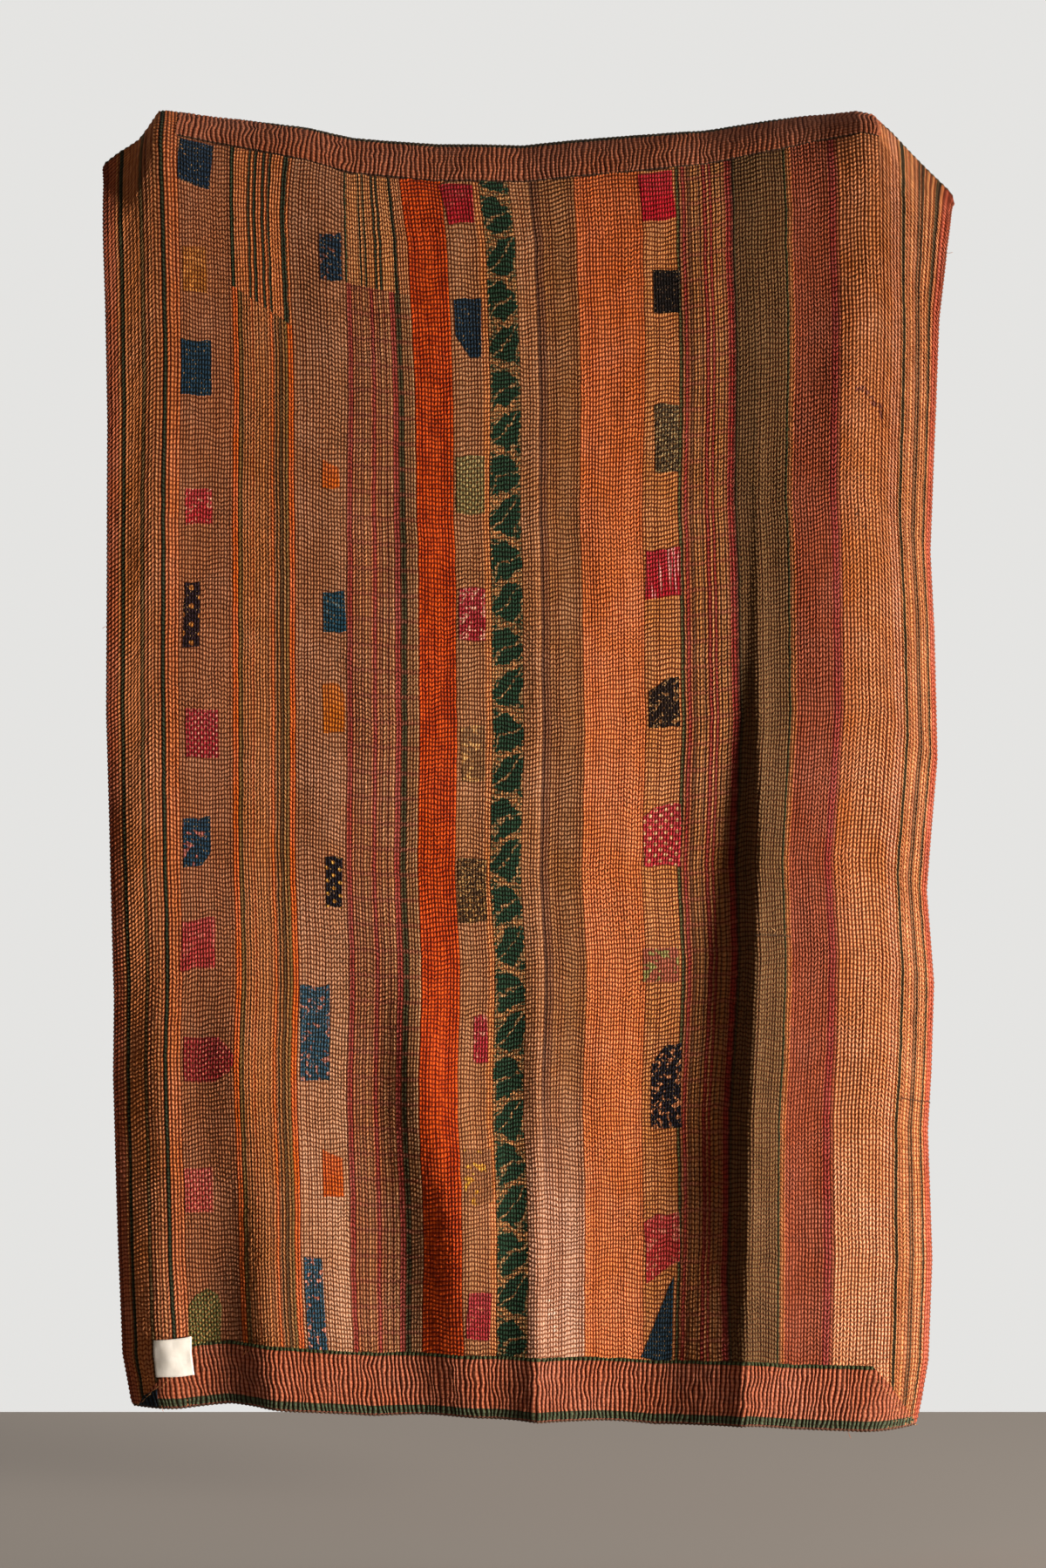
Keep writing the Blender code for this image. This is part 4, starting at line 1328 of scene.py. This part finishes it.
def add_threads(face, rng):
    """Stitches along the mitres and darns, and a few loose ends, as thin round threads."""
    share = np.linspace(0.0, 1.0, THREAD_STEPS)[:, None]
    angles = np.linspace(0.0, 2.0 * np.pi, THREAD_SIDES, endpoint=False)
    for name, code, radius, runs in THREADS:
        points, faces = [], []
        for start, end, count, (across, down) in runs:
            for step in np.linspace(0.0, 1.0, count):
                place = np.array(start) + step * (np.array(end) - np.array(start))
                place = place + rng.uniform(-THREAD_STRAY, THREAD_STRAY, 2)
                size = rng.uniform(*THREAD_LENGTHS)
                first_end, outward = thread_place(face, *place)
                last_end, _ = thread_place(face, place[0] + across * size, place[1] + down * size)
                if count == 1:
                    last_end = first_end + np.array((across, 0.0, -down)) * PIXEL
                middle = first_end + (last_end - first_end) * share
                middle = middle + outward * (THREAD_LIFT + THREAD_RISE * np.sin(np.pi * share))
                run = last_end - first_end
                side = np.cross(run / np.linalg.norm(run), outward)
                ring = np.cos(angles)[:, None] * side + np.sin(angles)[:, None] * outward
                thick = radius * np.clip(4.0 * np.minimum(share, 1.0 - share) + 0.3, 0.0, 1.0)
                base = len(points)
                points.extend((middle[:, None] + ring * thick[:, None]).reshape(-1, 3))
                for level in range(THREAD_STEPS - 1):
                    for turn in range(THREAD_SIDES):
                        beside = (turn + 1) % THREAD_SIDES
                        near, far = base + level * THREAD_SIDES, base + (level + 1) * THREAD_SIDES
                        faces.append((near + turn, near + beside, far + beside, far + turn))
        points = np.array(points)
        flat = (points[:, [0, 2]] - points[:, [0, 2]].min(axis=0)) / np.ptp(points[:, [0, 2]], axis=0)
        piece = add_piece(name, points, faces, points, points, flat, thread_finish(name, code))


def add_back_and_edges():
    """The back cloth and the rolled edges that join it to the face."""
    finish = quilt_finish("quilted_cotton_back", plain("#a47e68"), puff=0.9)
    piece = add_weave("back_cloth", back_cloth(), finish)
    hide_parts("quilt_body")
    side = np.linspace(0.0, FLAT_LENGTH, 2 * STITCH_ROWS + 1)
    ridges = round(FLAT_WIDTH / RIDGE_SPACE)
    end = np.linspace(0.0, FLAT_WIDTH, 2 * ridges + 1)
    for name, down, along, beads, code in (
            ("left_edge_roll", side, 0.0, STITCH_ROWS, "#8a452f"),
            ("right_edge_roll", side[::-1], FLAT_WIDTH, STITCH_ROWS, "#84442f"),
            ("top_edge_roll", 0.0, end[::-1], ridges, "#4a3b2a"),
            ("hem_edge_roll", FLAT_LENGTH, end, ridges, "#5a4234")):
        finish = quilt_finish("rolled_cotton_" + name, plain(code))
        piece = add_weave(name, rolled_edge(down, along, ROLL_RADIUS, beads), finish)


# The floor: half its width, where it ends behind, and its height
FLOOR_SPAN = 6.0
FLOOR_END = 0.77
FLOOR_LEVEL = -2.372

# Light of the pale room from in front and from behind, and the key light: its place, what
# it points at, its size, strength, spread and colour
ROOM_FRONT = (0.154, 0.131, 0.106, 1.0)
ROOM_BEHIND = (0.78, 0.775, 0.76, 1.0)
KEY_PLACE = (7.4, -2.8, -2.0)
KEY_AIM = (0.0, 0.0, -2.2)
KEY_SIZE = (1.8, 3.0)
KEY_ENERGY = 214.0
KEY_SPREAD = math.radians(50.0)
KEY_COLOUR = (1.0, 0.93, 0.84)

# Height of the camera's sensor in millimetres
SENSOR = 36.0


def stage_and_light():
    """A pale floor, a pale room behind, a low key light from the right and the camera."""
    floor_mesh = bpy.data.meshes.new("floor")
    floor_mesh.from_pydata(
        [(-FLOOR_SPAN, -FLOOR_SPAN, FLOOR_LEVEL), (FLOOR_SPAN, -FLOOR_SPAN, FLOOR_LEVEL),
         (FLOOR_SPAN, FLOOR_END, FLOOR_LEVEL), (-FLOOR_SPAN, FLOOR_END, FLOOR_LEVEL)],
        [], [(0, 1, 2, 3)])
    floor = bpy.data.objects.new("floor", floor_mesh)
    bpy.context.scene.collection.objects.link(floor)
    paint, _, shader = new_finish("matt_floor_paint", roughness=0.75, specular=0.5)
    shader.inputs["Base Color"].default_value = hue("#a39a92")
    floor_mesh.materials.append(paint)

    world = bpy.data.worlds.new("pale_room")
    bpy.context.scene.world = world
    world.use_nodes = True
    tree = world.node_tree
    toward = add(tree, "TexCoord", {})[0]
    behind = add(tree, "SeparateXYZ", {0: toward})[1]
    behind = add(tree, "MapRange", {0: behind, 1: -0.1, 2: 0.35}, interpolation_type="SMOOTHSTEP")[0]
    room = add(tree, "Mix", {0: behind, 6: ROOM_FRONT, 7: ROOM_BEHIND}, data_type="RGBA")[2]
    tree.links.new(room, tree.nodes["Background"].inputs["Color"])

    key = bpy.data.lights.new("key_light", "AREA")
    key.shape = "RECTANGLE"
    key.size, key.size_y = KEY_SIZE
    key.energy = KEY_ENERGY
    key.spread = KEY_SPREAD
    key.color = KEY_COLOUR
    lamp = bpy.data.objects.new("key_light", key)
    lamp.location = KEY_PLACE
    bpy.context.scene.collection.objects.link(lamp)
    aim = np.array(KEY_AIM) - np.array(lamp.location)
    lamp.rotation_mode = "QUATERNION"
    lamp.rotation_quaternion = Vector(aim).to_track_quat("-Z", "Y")

    lens = bpy.data.cameras.new("viewer")
    lens.sensor_fit = "VERTICAL"
    lens.sensor_width = lens.sensor_height = SENSOR
    lens.lens = SENSOR * VIEW_DISTANCE / (PHOTO_HEIGHT * PIXEL)
    viewer = bpy.data.objects.new("viewer", lens)
    viewer.location = (0.0, HANG_DEPTH - VIEW_DISTANCE, VIEW_HEIGHT)
    viewer.rotation_euler = (math.pi / 2, 0.0, 0.0)
    bpy.context.scene.collection.objects.link(viewer)
    bpy.context.scene.camera = viewer
    bpy.context.scene.view_settings.view_transform = "Standard"


random_draws = np.random.default_rng(11)
face, first = stitched_face(random_draws)
add_face(face, first)
add_scraps(face)
add_bands(random_draws)
add_label(face)
add_threads(face, random_draws)
add_back_and_edges()
stage_and_light()
